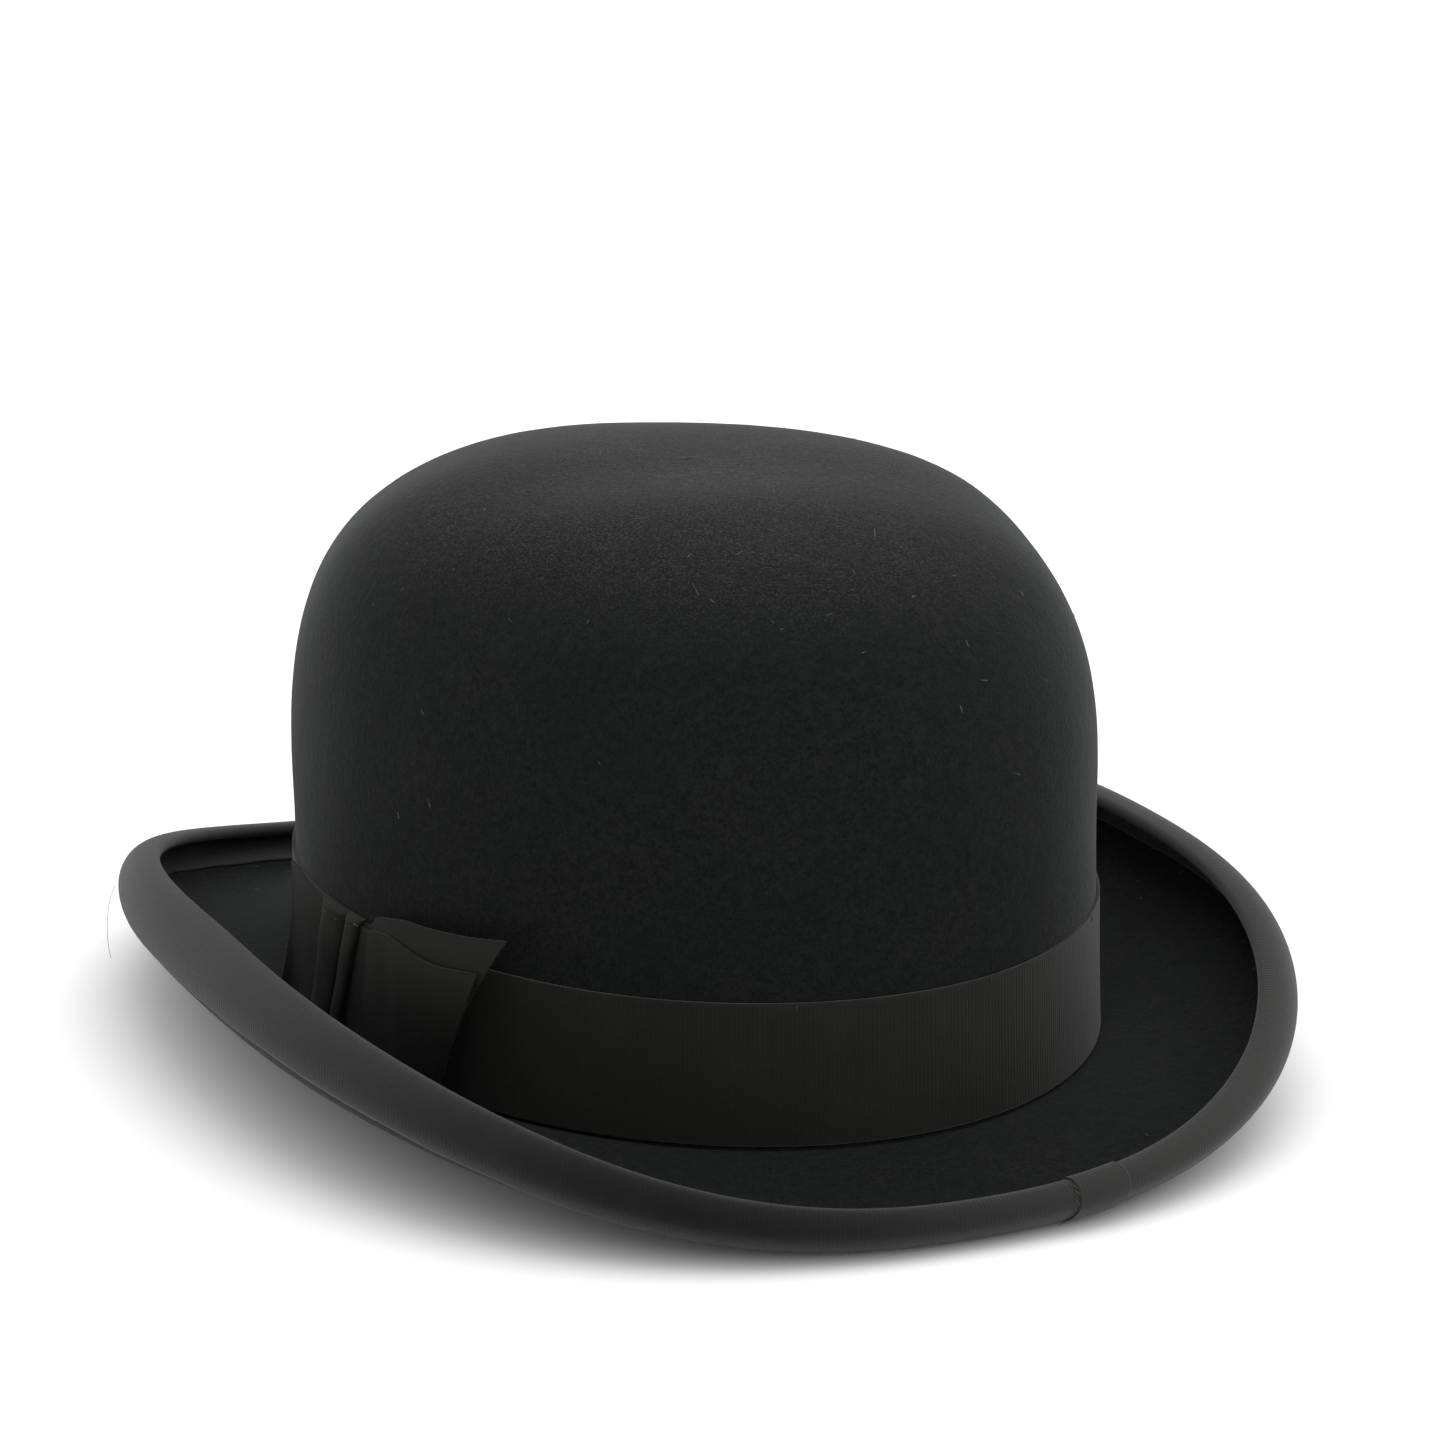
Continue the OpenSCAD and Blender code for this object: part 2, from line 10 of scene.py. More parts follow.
import bmesh
import bpy
import numpy as np
from mathutils import Matrix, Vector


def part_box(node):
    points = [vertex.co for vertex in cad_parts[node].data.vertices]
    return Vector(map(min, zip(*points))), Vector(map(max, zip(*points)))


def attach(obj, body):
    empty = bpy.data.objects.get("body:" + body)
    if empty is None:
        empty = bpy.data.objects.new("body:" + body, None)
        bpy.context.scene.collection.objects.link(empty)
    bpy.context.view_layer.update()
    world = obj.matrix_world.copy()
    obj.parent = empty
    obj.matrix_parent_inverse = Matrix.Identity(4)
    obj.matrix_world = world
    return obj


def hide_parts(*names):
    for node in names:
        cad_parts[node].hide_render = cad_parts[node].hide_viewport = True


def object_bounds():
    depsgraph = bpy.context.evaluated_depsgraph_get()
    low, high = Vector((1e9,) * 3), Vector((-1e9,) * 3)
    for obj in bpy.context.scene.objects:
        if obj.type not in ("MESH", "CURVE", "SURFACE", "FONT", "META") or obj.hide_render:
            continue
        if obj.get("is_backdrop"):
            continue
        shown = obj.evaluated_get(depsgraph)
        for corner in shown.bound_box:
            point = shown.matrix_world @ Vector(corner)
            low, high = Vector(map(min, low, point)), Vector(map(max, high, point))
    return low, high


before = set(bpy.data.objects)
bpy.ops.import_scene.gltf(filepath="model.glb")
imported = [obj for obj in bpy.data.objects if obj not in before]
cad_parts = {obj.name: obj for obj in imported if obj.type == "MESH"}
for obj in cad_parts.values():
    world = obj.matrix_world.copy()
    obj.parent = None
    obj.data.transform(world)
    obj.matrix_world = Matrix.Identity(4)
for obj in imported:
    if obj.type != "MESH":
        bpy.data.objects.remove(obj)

cad_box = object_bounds()

# ------------------------ sizes, in millimetres and degrees

BAND_FOOT = 0.6
BREAK_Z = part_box("hat_band")[0][2] * 1000 - BAND_FOOT  # height of the break in the frame
FLOOR = -BREAK_Z

CROWN_HALF_W, CROWN_HALF_L = 84.5, 103.0
WALL_H, DOME_H = 53.0, 67.5
SHOULDER, SHOULDER_SWING, FLATNESS = 3.2, 0.35, 3.0
LEAN = 2.0  # per 100 mm of height, towards the bow
FLARE = 0.01

BRIM_HALF_W, BRIM_HALF_L, BRIM_OVAL = 120.0, 146.0, 2.35
ROLL_RISE, SIDE_LIFT, ROLL_WAVE = 9.1, 11.1, -0.6
ROLL_R, ROLL_R_SWING = 5.8, 2.4
ROLL_FROM, ROLL_TO = -35.0, 104.0
SLOPE_MEAN, SLOPE_SWING = 6.0, 12.0

FELT_T = 2.0
BINDING_T, BINDING_GAP, BINDING_W = 0.45, 0.12, 18.0
BRIM_T = FELT_T + 2 * BINDING_T
RIBBON_T, BAND_H, GAP = 0.5, 31.0, 0.05
RIB_PITCH = 0.95
LEATHER_FOOT, LEATHER_H, LEATHER_T = 1.2, 54.0, 1.1
LINING_D = -FELT_T - 0.4
SATIN_T = 0.4
LEATHER_D = LINING_D - SATIN_T - GAP
LEATHER_IN = LEATHER_D - LEATHER_T
REED_D, WELT_T, WELT_H = 1.8, 0.4, 6.0
PIPING_UP, SEAM_UP = 49.0, 0.75
LAP_AT, LAP_HALF = 99.6, 2.6
KNOT_AT, KNOT_W, KNOT_SLANT, FOLD_AT = 9.6, 18.5, 0.33, 0.645
DEG_PER_MM = 180 / math.pi / CROWN_HALF_L * 1.015

# ------------------------ camera, as the photograph looks

AZIMUTH, ELEVATION, ROLL = 155.14, 16.22, 0.62
DISTANCE = 1.1
LENS = 125.1
AIM_SIDE, AIM_UP = 0.0060, 0.0608


def turned_to(axes, place):
    """The matrix that puts an object at a place, with its x, y and z along the axes."""
    return Matrix([[*row, at] for row, at in zip(np.stack(axes, 1), place)] + [[0, 0, 0, 1]])


def new_object(name, data):
    obj = bpy.data.objects.new(name, data)
    bpy.context.scene.collection.objects.link(obj)
    return obj


def make_camera():
    az, el, roll = (math.radians(a) for a in (AZIMUTH, ELEVATION, ROLL))
    back = np.array([math.sin(az) * math.cos(el), -math.cos(az) * math.cos(el), math.sin(el)])
    right = np.array([math.cos(az), math.sin(az), 0.0])
    up = np.cross(back, right)
    aim = np.array([0, 0, AIM_UP + BREAK_Z / 1000]) + right * AIM_SIDE
    turned = math.cos(roll) * right + math.sin(roll) * up
    up = math.cos(roll) * up - math.sin(roll) * right
    data = bpy.data.cameras.new("camera")
    data.lens = LENS
    data.clip_start, data.clip_end = 0.05, 50
    cam = new_object("camera", data)
    cam.matrix_world = turned_to([turned, up, back], aim + back * DISTANCE)
    bpy.context.scene.camera = cam


make_camera()

# ------------------------ small maths


def cosd(a):
    return np.cos(np.radians(a))


def sind(a):
    return np.sin(np.radians(a))


def step(low, high, v):
    """0 below low, 1 above high, smooth between."""
    t = np.clip((v - low) / (high - low), 0, 1)
    return t * t * (3 - 2 * t)


def hump(middle, width, v):
    return np.exp(-(((v - middle) / width) ** 2))


def soft_pow(v, e):
    return v * (v * v + 0.01) ** ((e - 1) / 2)


def oval(a, b, m, th):
    return a * soft_pow(cosd(th), 2 / m), b * soft_pow(sind(th), 2 / m)


def waves(p, length, seed, count=14):
    """Smooth irregular waves of about that length over points p, between roughly -1 and 1."""
    rng = np.random.default_rng(seed)
    total = 0
    for _ in range(count):
        way = rng.normal(size=p.shape[-1])
        way *= 2 * np.pi / (length * rng.uniform(0.7, 1.5)) / np.linalg.norm(way)
        total = total + np.sin(p @ way + rng.uniform(0, 2 * np.pi))
    return total / math.sqrt(count)


def ring_waves(th, periods, seed, count=5):
    """Irregular waves round the hat, about that many of them in a turn."""
    rng = np.random.default_rng(seed)
    total = 0
    for k in range(count):
        turns = max(1, round(periods * (0.6 + 0.8 * k / count)))
        total = total + rng.uniform(0.5, 1) * sind(turns * th + rng.uniform(0, 360))
    return total / math.sqrt(count)


def stack(*xyz):
    return np.stack(np.broadcast_arrays(*xyz), -1)


# ------------------------ the crown's shape


def wall_point(th, d, z):
    s = 1 + FLARE * (1 - np.clip(z, 0, WALL_H) / WALL_H) ** 2
    x, y = oval(CROWN_HALF_W * s + d, CROWN_HALF_L * s + d, 2.0, th)
    return stack(x + LEAN * z / 100, y, z + 0 * th)


def dome_point(th, d, up):
    r = cosd(up) ** (2 / (SHOULDER + SHOULDER_SWING * cosd(2 * th)))
    z = WALL_H + (DOME_H + d) * np.abs(sind(up)) ** (2 / FLATNESS)
    x, y = oval((CROWN_HALF_W + d) * r, (CROWN_HALF_L + d) * r, 2 - 0.2 * sind(up), th)
    return stack(x + LEAN * z / 100, y, z)


def crown_point(th, d, z):
    """A point at height z, on the wall or on the dome above it."""
    up = np.degrees(np.arcsin(np.clip((z - WALL_H) / (DOME_H + d), 0, 1) ** (FLATNESS / 2)))
    wall = wall_point(th, d, z)
    return np.where(wall[..., 2:] <= WALL_H, wall, dome_point(th, d, up))


# steps up the dome, from its foot to close to its middle
NEAR_TOP = np.degrees(np.arccos(np.linspace(0.42, 0.012, 26) ** 1.6))
DOME_UPS = np.concatenate([np.linspace(0, 74, 56), NEAR_TOP])


# ------------------------ the brim's shape


def crown_foot(th):
    return np.stack(oval(CROWN_HALF_W * (1 + FLARE), CROWN_HALF_L * (1 + FLARE), 2.0, th), -1)


def brim_edge(th):
    return np.stack(oval(BRIM_HALF_W, BRIM_HALF_L, BRIM_OVAL, th), -1)


def brim_w(th):
    return np.linalg.norm(brim_edge(th) - crown_foot(th), axis=-1)


def roll_radius(th):
    return ROLL_R + ROLL_R_SWING * cosd(2 * th)


def roll_length(th):
    return roll_radius(th) * np.radians(ROLL_TO - ROLL_FROM)


def roll_point(th, g):
    r = roll_radius(th)
    rise = ROLL_RISE + SIDE_LIFT * cosd(2 * th) + ROLL_WAVE * cosd(4 * th)
    return stack(brim_w(th) - r + r * cosd(g), rise + r * sind(g))


def open_reach(th):
    p = roll_point(th, ROLL_FROM)
    return np.hypot(p[..., 0], p[..., 1] + BRIM_T)


def open_point(th, t):
    reach, slope = open_reach(th), SLOPE_MEAN + SLOPE_SWING * cosd(2 * th)
    q = roll_point(th, ROLL_FROM)
    t = t[..., None] + 0 * reach[..., None]
    start = stack(0 * reach, -BRIM_T)
    leave = reach[..., None] * stack(cosd(slope), sind(slope))
    arrive = reach[..., None] * stack(-sind(ROLL_FROM), cosd(ROLL_FROM))
    return (
        (2 * t**3 - 3 * t**2 + 1) * start
        + (t**3 - 2 * t**2 + t) * leave
        + (3 * t**2 - 2 * t**3) * q
        + (t**3 - t**2) * arrive
    )


def brim_at(th, s):
    """The brim's outer face, [out, up], at a length s back from the felt's edge."""
    s = s + 0 * th
    on_roll = roll_point(th, ROLL_TO - np.degrees(s / roll_radius(th)))
    inside = open_point(th, 1 - (s - roll_length(th)) / open_reach(th))
    return np.where((s <= roll_length(th))[..., None], on_roll, inside)


def brim_point(th, s, d, past=0.0):
    """Moved d towards the upper, inner face, and past the felt's edge."""
    whole = roll_length(th) + open_reach(th)
    way = brim_at(th, np.maximum(s - 0.2, 0)) - brim_at(th, np.minimum(s + 0.2, whole))
    way /= np.linalg.norm(way, axis=-1, keepdims=True)
    side = np.stack([-way[..., 1], way[..., 0]], -1)
    return brim_at(th, s) + np.asarray(d)[..., None] * side + np.asarray(past)[..., None] * way


def on_brim(th, p):
    """Section points [out, up] put on the brim at angle th, never below the floor."""
    foot, edge = crown_foot(th), brim_edge(th)
    way = (edge - foot) / brim_w(th)[..., None]
    share = np.clip(p[..., 0] / brim_w(th), 0, 1.1) ** 2
    up = p[..., 1] + share * brim_sway(th)
    q = foot + way * p[..., :1]
    return stack(q[..., 0], q[..., 1], np.maximum(up, FLOOR))


def brim_sway(th):
    """How far the used brim's edge is out of true, up or down."""
    return 0.35 * ring_waves(th, 5, 11)


# ------------------------ meshes


def face_outwards(mesh):
    """Turns the faces of every closed part of a mesh outwards."""
    work = bmesh.new()
    work.from_mesh(mesh)
    bmesh.ops.recalc_face_normals(work, faces=work.faces)
    work.to_mesh(mesh)
    work.free()


class Shape:
    """Points, faces and per-point marks of one piece."""

    def __init__(self):
        self.points, self.quads, self.tris, self.marks, self.count = [], [], [], {}, 0

    def add(self, p, marks):
        first, n = self.count, p.size // 3
        self.points.append(p.reshape(-1, 3))
        for name in sorted(set(self.marks) | set(marks)):
            rows = self.marks.setdefault(name, [np.zeros(first)] if first else [])
            rows.append(np.broadcast_to(marks.get(name, 0.0), p.shape[:-1]).reshape(-1))
        self.count += n
        return first + np.arange(n).reshape(p.shape[:-1])

    def grid(self, p, wrap_rows=False, wrap_cols=False, **marks):
        """A net of quads over the points p[row, column]."""
        index = self.add(p, marks)
        net = np.vstack([index, index[:1]]) if wrap_rows else index
        net = np.hstack([net, net[:, :1]]) if wrap_cols else net
        quads = np.stack([net[:-1, :-1], net[1:, :-1], net[1:, 1:], net[:-1, 1:]], -1)
        self.quads.append(quads.reshape(-1, 4))
        return index

    def fan(self, loop, centre, **marks):
        """Closes a loop of points with triangles to its centre."""
        c = self.add(np.asarray(centre, float).reshape(1, 3), marks)[0]
        self.tris.append(np.stack([loop, np.roll(loop, -1), np.full(len(loop), c)], -1))

    def ring(self, p, **marks):
        """Closed sections p[place, point] swept right round."""
        self.grid(p, True, True, **marks)

    def strip(self, p, **marks):
        """Closed sections p[place, point], closed at both ends by joining opposite points."""
        index = self.grid(p, False, True, **marks)
        j = np.arange(p.shape[1] // 2 - 1)
        for row in (index[0], index[-1]):
            self.quads.append(np.stack([row[-1 - j], row[-2 - j], row[j + 1], row[j]], -1))

    def tube(self, path, radius, sides=8, **marks):
        """A round thread along a path, closed at both ends."""
        path = np.asarray(path, float)
        way = np.gradient(path, axis=0)
        way /= np.linalg.norm(way, axis=1, keepdims=True)
        side = np.cross(way[0], [0.31, 0.52, 0.79])
        rows = []
        for p, w, r in zip(path, way, np.broadcast_to(radius, len(path))):
            side = side - w * (side @ w)
            side /= np.linalg.norm(side)
            a = np.arange(sides)[:, None] * 2 * np.pi / sides
            rows.append(p + r * (np.cos(a) * side + np.sin(a) * np.cross(w, side)))
        index = self.grid(np.array(rows), False, True, **marks)
        for end in (0, -1):
            self.fan(index[end], path[end], **marks)

    def piece(self, name, material, nodes=()):
        """Makes the Blender object, in metres in the frame."""
        co = np.concatenate(self.points)
        co[:, 2] += BREAK_Z
        quads = np.concatenate(self.quads) if self.quads else np.zeros((0, 4), int)
        tris = np.concatenate(self.tris) if self.tris else np.zeros((0, 3), int)
        corners = np.concatenate([quads.ravel(), tris.ravel()]).astype(np.int32)
        starts = np.concatenate([np.arange(len(quads)) * 4, quads.size + np.arange(len(tris)) * 3])
        mesh = bpy.data.meshes.new(name)
        mesh.vertices.add(len(co))
        mesh.vertices.foreach_set("co", (co * 0.001).astype(np.float32).ravel())
        mesh.loops.add(len(corners))
        mesh.loops.foreach_set("vertex_index", corners)
        mesh.polygons.add(len(starts))
        mesh.polygons.foreach_set("loop_start", starts.astype(np.int32))
        mesh.update(calc_edges=True)
        mesh.polygons.foreach_set("use_smooth", np.full(len(starts), True))
        for mark, rows in self.marks.items():
            layer = mesh.attributes.new(mark, "FLOAT", "POINT")
            layer.data.foreach_set("value", np.concatenate(rows).astype(np.float32))
        mesh.validate()
        face_outwards(mesh)
        mesh.materials.append(material)
        obj = new_object(name, mesh)
        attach(obj, "root")
        if nodes:
            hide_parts(*nodes)
        return obj


# ------------------------ materials


def add_node(tree, kind, inputs, out=0, **props):
    """Adds a node, with its inputs set or linked, and gives back one of its outputs."""
    n = tree.nodes.new(kind)
    for k, v in props.items():
        setattr(n, k, v)
    for k, v in inputs.items():
        if isinstance(v, bpy.types.NodeSocket):
            tree.links.new(v, n.inputs[k])
        else:
            n.inputs[k].default_value = v
    return n.outputs[out]


class Graph:
    """A procedural material on one Principled shader."""

    def __init__(self, name, **sockets):
        self.mat = bpy.data.materials.new(name)
        self.mat.use_nodes = True
        self.tree = self.mat.node_tree
        self.shader = self.tree.nodes["Principled BSDF"]
        self.place = self.node("ShaderNodeTexCoord", {}, out="Object")
        for socket, value in sockets.items():
            self.shader.inputs[socket.replace("_", " ")].default_value = value

    def node(self, kind, inputs, out=0, **props):
        return add_node(self.tree, kind, inputs, out, **props)

    def mark(self, name):
        return self.node("ShaderNodeAttribute", {}, out="Fac", attribute_name=name)

    def noise(self, per_m, detail, rough=0.6, warp=0.0):
        inputs = {"Vector": self.place, "Scale": per_m, "Detail": detail}
        return self.node("ShaderNodeTexNoise", inputs | {"Roughness": rough, "Distortion": warp})

    def cells(self, per_m, feature="F1"):
        inputs = {"Vector": self.place, "Scale": per_m}
        return self.node("ShaderNodeTexVoronoi", inputs, out="Distance", feature=feature)

    def maths(self, operation, a, b=0.0):
        return self.node("ShaderNodeMath", {0: a, 1: b}, operation=operation)

    def fit(self, v, low, high, to_low=0.0, to_high=1.0):
        inputs = {"Value": v, "From Min": low, "From Max": high, "To Min": to_low, "To Max": to_high}
        return self.node("ShaderNodeMapRange", inputs, interpolation_type="SMOOTHSTEP")

    def mix(self, share, a, b):
        inputs = {"Factor": share, "A": a, "B": b}
        n = self.tree.nodes.new("ShaderNodeMix")
        n.data_type = "RGBA"
        for k, v in inputs.items():
            socket = next(s for s in n.inputs if s.name == k and s.enabled)
            if isinstance(v, bpy.types.NodeSocket):
                self.tree.links.new(v, socket)
            elif k == "Factor":
                socket.default_value = v
            else:
                socket.default_value = (*v, 1.0)
        return next(s for s in n.outputs if s.enabled)

    def height(self):
        return self.node("ShaderNodeSeparateXYZ", {"Vector": self.place}, out="Z")

    def bump(self, height, strength, distance, under=None):
        inputs = {"Height": height, "Strength": strength, "Distance": distance}
        if under:
            inputs["Normal"] = under
        return self.node("ShaderNodeBump", inputs)

    def finish(self, color=None, rough=None, normal=None):
        for socket, value in (("Base Color", color), ("Roughness", rough), ("Normal", normal)):
            if value is not None:
                self.tree.links.new(value, self.shader.inputs[socket])
        return self.mat


def felt_material():
    """Nap and fur in fine flecks, with pale dust on top of the crown."""
    g = Graph("fur_felt", Roughness=0.95, Sheen_Weight=0.215, Sheen_Roughness=0.3, Specular_IOR_Level=0.08)
    g.shader.inputs["Sheen Tint"].default_value = (0.63, 0.64, 0.65, 1)
    fleck = g.noise(1500, 4, 0.72)
    fur = g.noise(520, 4, 0.7, 0.6)
    patch = g.noise(38, 3, 0.55)
    color = g.mix(g.fit(fleck, 0.32, 0.75), (0.0036, 0.0042, 0.0040), (0.0124, 0.0136, 0.0131))
    color = g.mix(g.fit(fur, 0.38, 0.72, 0, 0.5), color, (0.0162, 0.0172, 0.0164))
    color = g.mix(g.fit(patch, 0.3, 0.7, 0, 0.35), color, (0.0066, 0.0072, 0.0080))
    top = g.fit(g.height(), 0.104, 0.133)
    dust = g.maths("MULTIPLY", top, g.fit(g.noise(90, 5, 0.6), 0.36, 0.68, 0.75, 1.0))
    dust = g.maths("MULTIPLY", dust, g.fit(g.noise(1900, 4, 0.85), 0.50, 0.63))
    color = g.mix(g.maths("MULTIPLY", dust, 0.55), color, (0.110, 0.102, 0.106))
    normal = g.bump(fleck, 0.5, 0.00022, g.bump(fur, 0.35, 0.0004))
    return g.finish(color, None, normal)


def grosgrain_material(name, dark, light, worn, edge_light, sheen, painted_shading=None):
    """Ribbed ribbon; the last argument is [a way across the hat, nearest, farthest, colour] of its lighter
    parts: painted light and shade that grows lighter along that way.
    """
    g = Graph(name, Roughness=0.8, Sheen_Weight=sheen, Sheen_Roughness=0.4, Specular_IOR_Level=0.1)
    rib, edge = g.mark("rib"), g.mark("edge")
    patch = g.noise(46, 4, 0.6)
    thread = g.noise(2600, 2, 0.5)
    color = g.mix(g.fit(rib, 0.15, 1.0), dark, light)
    color = g.mix(g.fit(patch, 0.42, 0.72, 0, 0.55), color, worn)
    color = g.mix(g.fit(thread, 0.35, 0.7, 0, 0.5), color, dark)
    if painted_shading:
        # painted light and shade: the colour goes lighter with the distance along the way, for how the light
        # falls on the ribbon
        way, near, far, light_color = painted_shading
        out = g.node("ShaderNodeVectorMath", {0: g.place, 1: way}, out="Value", operation="DOT_PRODUCT")
        color = g.mix(g.fit(g.maths("ABSOLUTE", out), near, far, 0, 0.9), color, light_color)
    color = g.mix(g.maths("MULTIPLY", edge, edge_light), color, tuple(1.7 * v for v in worn))
    across = g.maths("SINE", g.maths("MULTIPLY", g.mark("across"), 2 * math.pi / 0.32))
    normal = g.bump(across, 0.35, 0.00005, g.bump(thread, 0.4, 0.0001))
    return g.finish(color, None, normal)


def thread_material(name, color, light):
    g = Graph(name, Roughness=0.7, Sheen_Weight=0.1)
    twist = g.noise(3200, 2, 0.5, 1.5)
    return g.finish(g.mix(g.fit(twist, 0.35, 0.7), color, light), None, g.bump(twist, 0.5, 0.0001))


def leather_material():
    g = Graph("sheepskin", Specular_IOR_Level=0.4, Coat_Weight=0.05, Coat_Roughness=0.4)
    patch = g.noise(24, 5, 0.62, 0.5)
    pores = g.cells(1250)
    creases = g.cells(420, "DISTANCE_TO_EDGE")
    color = g.mix(g.fit(patch, 0.3, 0.72), (0.15, 0.072, 0.030), (0.30, 0.165, 0.078))
    color = g.mix(g.fit(pores, 0, 0.35, 0.55, 0), color, (0.07, 0.032, 0.014))
    foot = g.fit(g.height(), 0.010, 0.034, 0.75, 0.0)
    color = g.mix(g.maths("MULTIPLY", foot, g.fit(g.noise(60, 4), 0.3, 0.6)), color, (0.055, 0.028, 0.014))
    color = g.mix(g.maths("MULTIPLY", g.mark("edge"), 0.6), color, (0.34, 0.21, 0.11))
    rough = g.fit(patch, 0.3, 0.7, 0.62, 0.42)
    normal = g.bump(g.fit(creases, 0.0, 0.12), 0.35, 0.00025, g.bump(pores, 0.4, 0.0003))
    return g.finish(color, rough, normal)


def satin_material():
    g = Graph("aged_satin", Roughness=0.38, Sheen_Weight=0.25, Sheen_Roughness=0.3, Anisotropic=0.5)
    stain = g.noise(17, 5, 0.65, 0.4)
    weave = g.noise(4200, 1, 0.5)
    color = g.mix(g.fit(stain, 0.28, 0.7), (0.50, 0.42, 0.29), (0.68, 0.62, 0.49))
    spots = g.fit(g.noise(95, 4, 0.7), 0.64, 0.75, 0, 0.5)
    color = g.mix(spots, color, (0.33, 0.22, 0.12))
    color = g.mix(g.fit(weave, 0.3, 0.7, 0, 0.2), color, (0.42, 0.36, 0.26))
    return g.finish(color, None, g.bump(weave, 0.25, 0.00008))


def plain_material(name, dark, light, per_m, rough=0.8, depth=0.0001):
    g = Graph(name, Roughness=rough, Specular_IOR_Level=0.3)
    grain = g.noise(per_m, 4, 0.65, 0.3)
    return g.finish(g.mix(g.fit(grain, 0.3, 0.7), dark, light), None, g.bump(grain, 0.5, depth))


FELT = felt_material()
BAND = grosgrain_material(
    "band_grosgrain", (0.0098, 0.0102, 0.0090), (0.0136, 0.0139, 0.0123), (0.0184, 0.0188, 0.0162), 0.18, 0.2
)
# the bow's ribbon: a much darker copy of the band's ribbon, painted shade for the trough between crown and
# brim, darker still towards its foot and lighter towards its top (painted shade)
PAINTED_SHADE_BOW = grosgrain_material(
    "bow_grosgrain_painted_shade", (0.0024, 0.0025, 0.0023), (0.0034, 0.0035, 0.0032), (0.0056, 0.0057, 0.0050), 0.12, 0.06,
    ((0, 0, 1), 0.018, 0.044, (0.0185, 0.0187, 0.0160)),
)
# the binding: lighter towards the sides, far out along (0.91, -0.42, 0), as painted light for the grazing
# light there
BINDING = grosgrain_material(
    "binding_grosgrain_painted_light", (0.0058, 0.0062, 0.0059), (0.008, 0.0084, 0.008), (0.014, 0.0144, 0.0136), 0.0, 0.2,
    ((0.91, -0.42, 0), 0.004, 0.110, (0.0345, 0.0348, 0.0336)),
)
BLACK_THREAD = thread_material("black_cotton", (0.008, 0.008, 0.008), (0.026, 0.026, 0.024))
RED_THREAD = thread_material("worn_red_thread", (0.040, 0.016, 0.014), (0.085, 0.045, 0.040))
LEATHER = leather_material()
SATIN = satin_material()
SATIN_CORD = plain_material("satin_cord", (0.40, 0.33, 0.22), (0.60, 0.53, 0.40), 900, 0.45)
TAPE = plain_material("cotton_tape", (0.012, 0.010, 0.008), (0.045, 0.038, 0.030), 1400, 0.9, 0.0002)
CANE = plain_material("split_cane", (0.34, 0.22, 0.09), (0.55, 0.42, 0.22), 260, 0.55)
SMALL_RIBBON = grosgrain_material(
    "small_ribbon", (0.010, 0.009, 0.008), (0.040, 0.036, 0.030), (0.05, 0.043, 0.034), 0.25, 0.2
)
PAPER = plain_material("aged_paper", (0.58, 0.50, 0.37), (0.76, 0.71, 0.58), 420, 0.85)
LINT = plain_material("lint", (0.04, 0.04, 0.039), (0.17, 0.166, 0.16), 600, 0.9)

# ------------------------ the felt body

FELT_STEPS = 768


def felt_wobble(p):
    """Slight unevenness of the blocked felt above the band."""
    return (0.30 * waves(p, 55, 3) + 0.015 * waves(p, 9, 4)) * step(34, 55, p[..., 2])


def make_felt():
    th = (np.arange(FELT_STEPS) * 360 / FELT_STEPS)[:, None]
    ups, heights = DOME_UPS[None, ::-1], np.linspace(WALL_H, 0.5, 34)[None, 1:]
    whole = roll_length(th) + open_reach(th)
    share = np.linspace(0, 1, 96)[None, :] ** 1.15
    s = whole * (1 - share) + 0.02 * share
    outer_dome = dome_point(th, felt_wobble(dome_point(th, 0.0, ups)), ups)
    outer_wall = wall_point(th, felt_wobble(wall_point(th, 0.0, heights)), heights)
    upper = on_brim(th, brim_point(th, s, BRIM_T - BINDING_T))
    lower = on_brim(th, brim_point(th, s[:, ::-1], BINDING_T))
    inner_wall = wall_point(th, -FELT_T, np.linspace(0, WALL_H, 16)[None, :])
    inner_dome = dome_point(th, -FELT_T, DOME_UPS[None, 1:])
    shape = Shape()
    net = shape.grid(np.concatenate([outer_dome, outer_wall, upper, lower, inner_wall, inner_dome], 1), True)
    for loop, d in ((net[:, 0], 0), (net[:, -1], -FELT_T)):
        top = WALL_H + DOME_H + d
        shape.fan(loop, [LEAN * top / 100, 0, top])
    shape.piece("felt_hat_body", FELT, ["felt_body"])


make_felt()

# ------------------------ ribbed ribbons

PER_RIB = 6
RIB_H, BINDING_RIB_H = 0.05, 0.055
FOLD_STEPS = 6
FACE_STEPS = np.linspace(0, 1, 19)[None, :]


def rib_height(phase):
    """Profile of the cords of a grosgrain ribbon, 0 in the grooves and 1 on the cords."""
    return np.abs(np.sin(np.pi * phase)) ** 0.6


def uneven_ribs(phase, seed):
    """Rib heights round the hat, each rib a little taller or lower than the next."""
    tall = np.random.default_rng(seed).uniform(0.8, 1.15, round(phase[-1] + 0.5))
    return (rib_height(phase) * np.repeat(tall, PER_RIB))[:, None]


def places_round(curve):
    """Angles at equal lengths round a closed curve, and the rib phase at each."""
    th = np.linspace(0, 360, 2881)
    p = curve(th)
    length = np.concatenate([[0], np.cumsum(np.linalg.norm(np.diff(p, axis=0), axis=1))])
    ribs = round(length[-1] / RIB_PITCH)
    phase = np.arange(ribs * PER_RIB) / PER_RIB
    return np.interp(phase / ribs * length[-1], length, th), phase


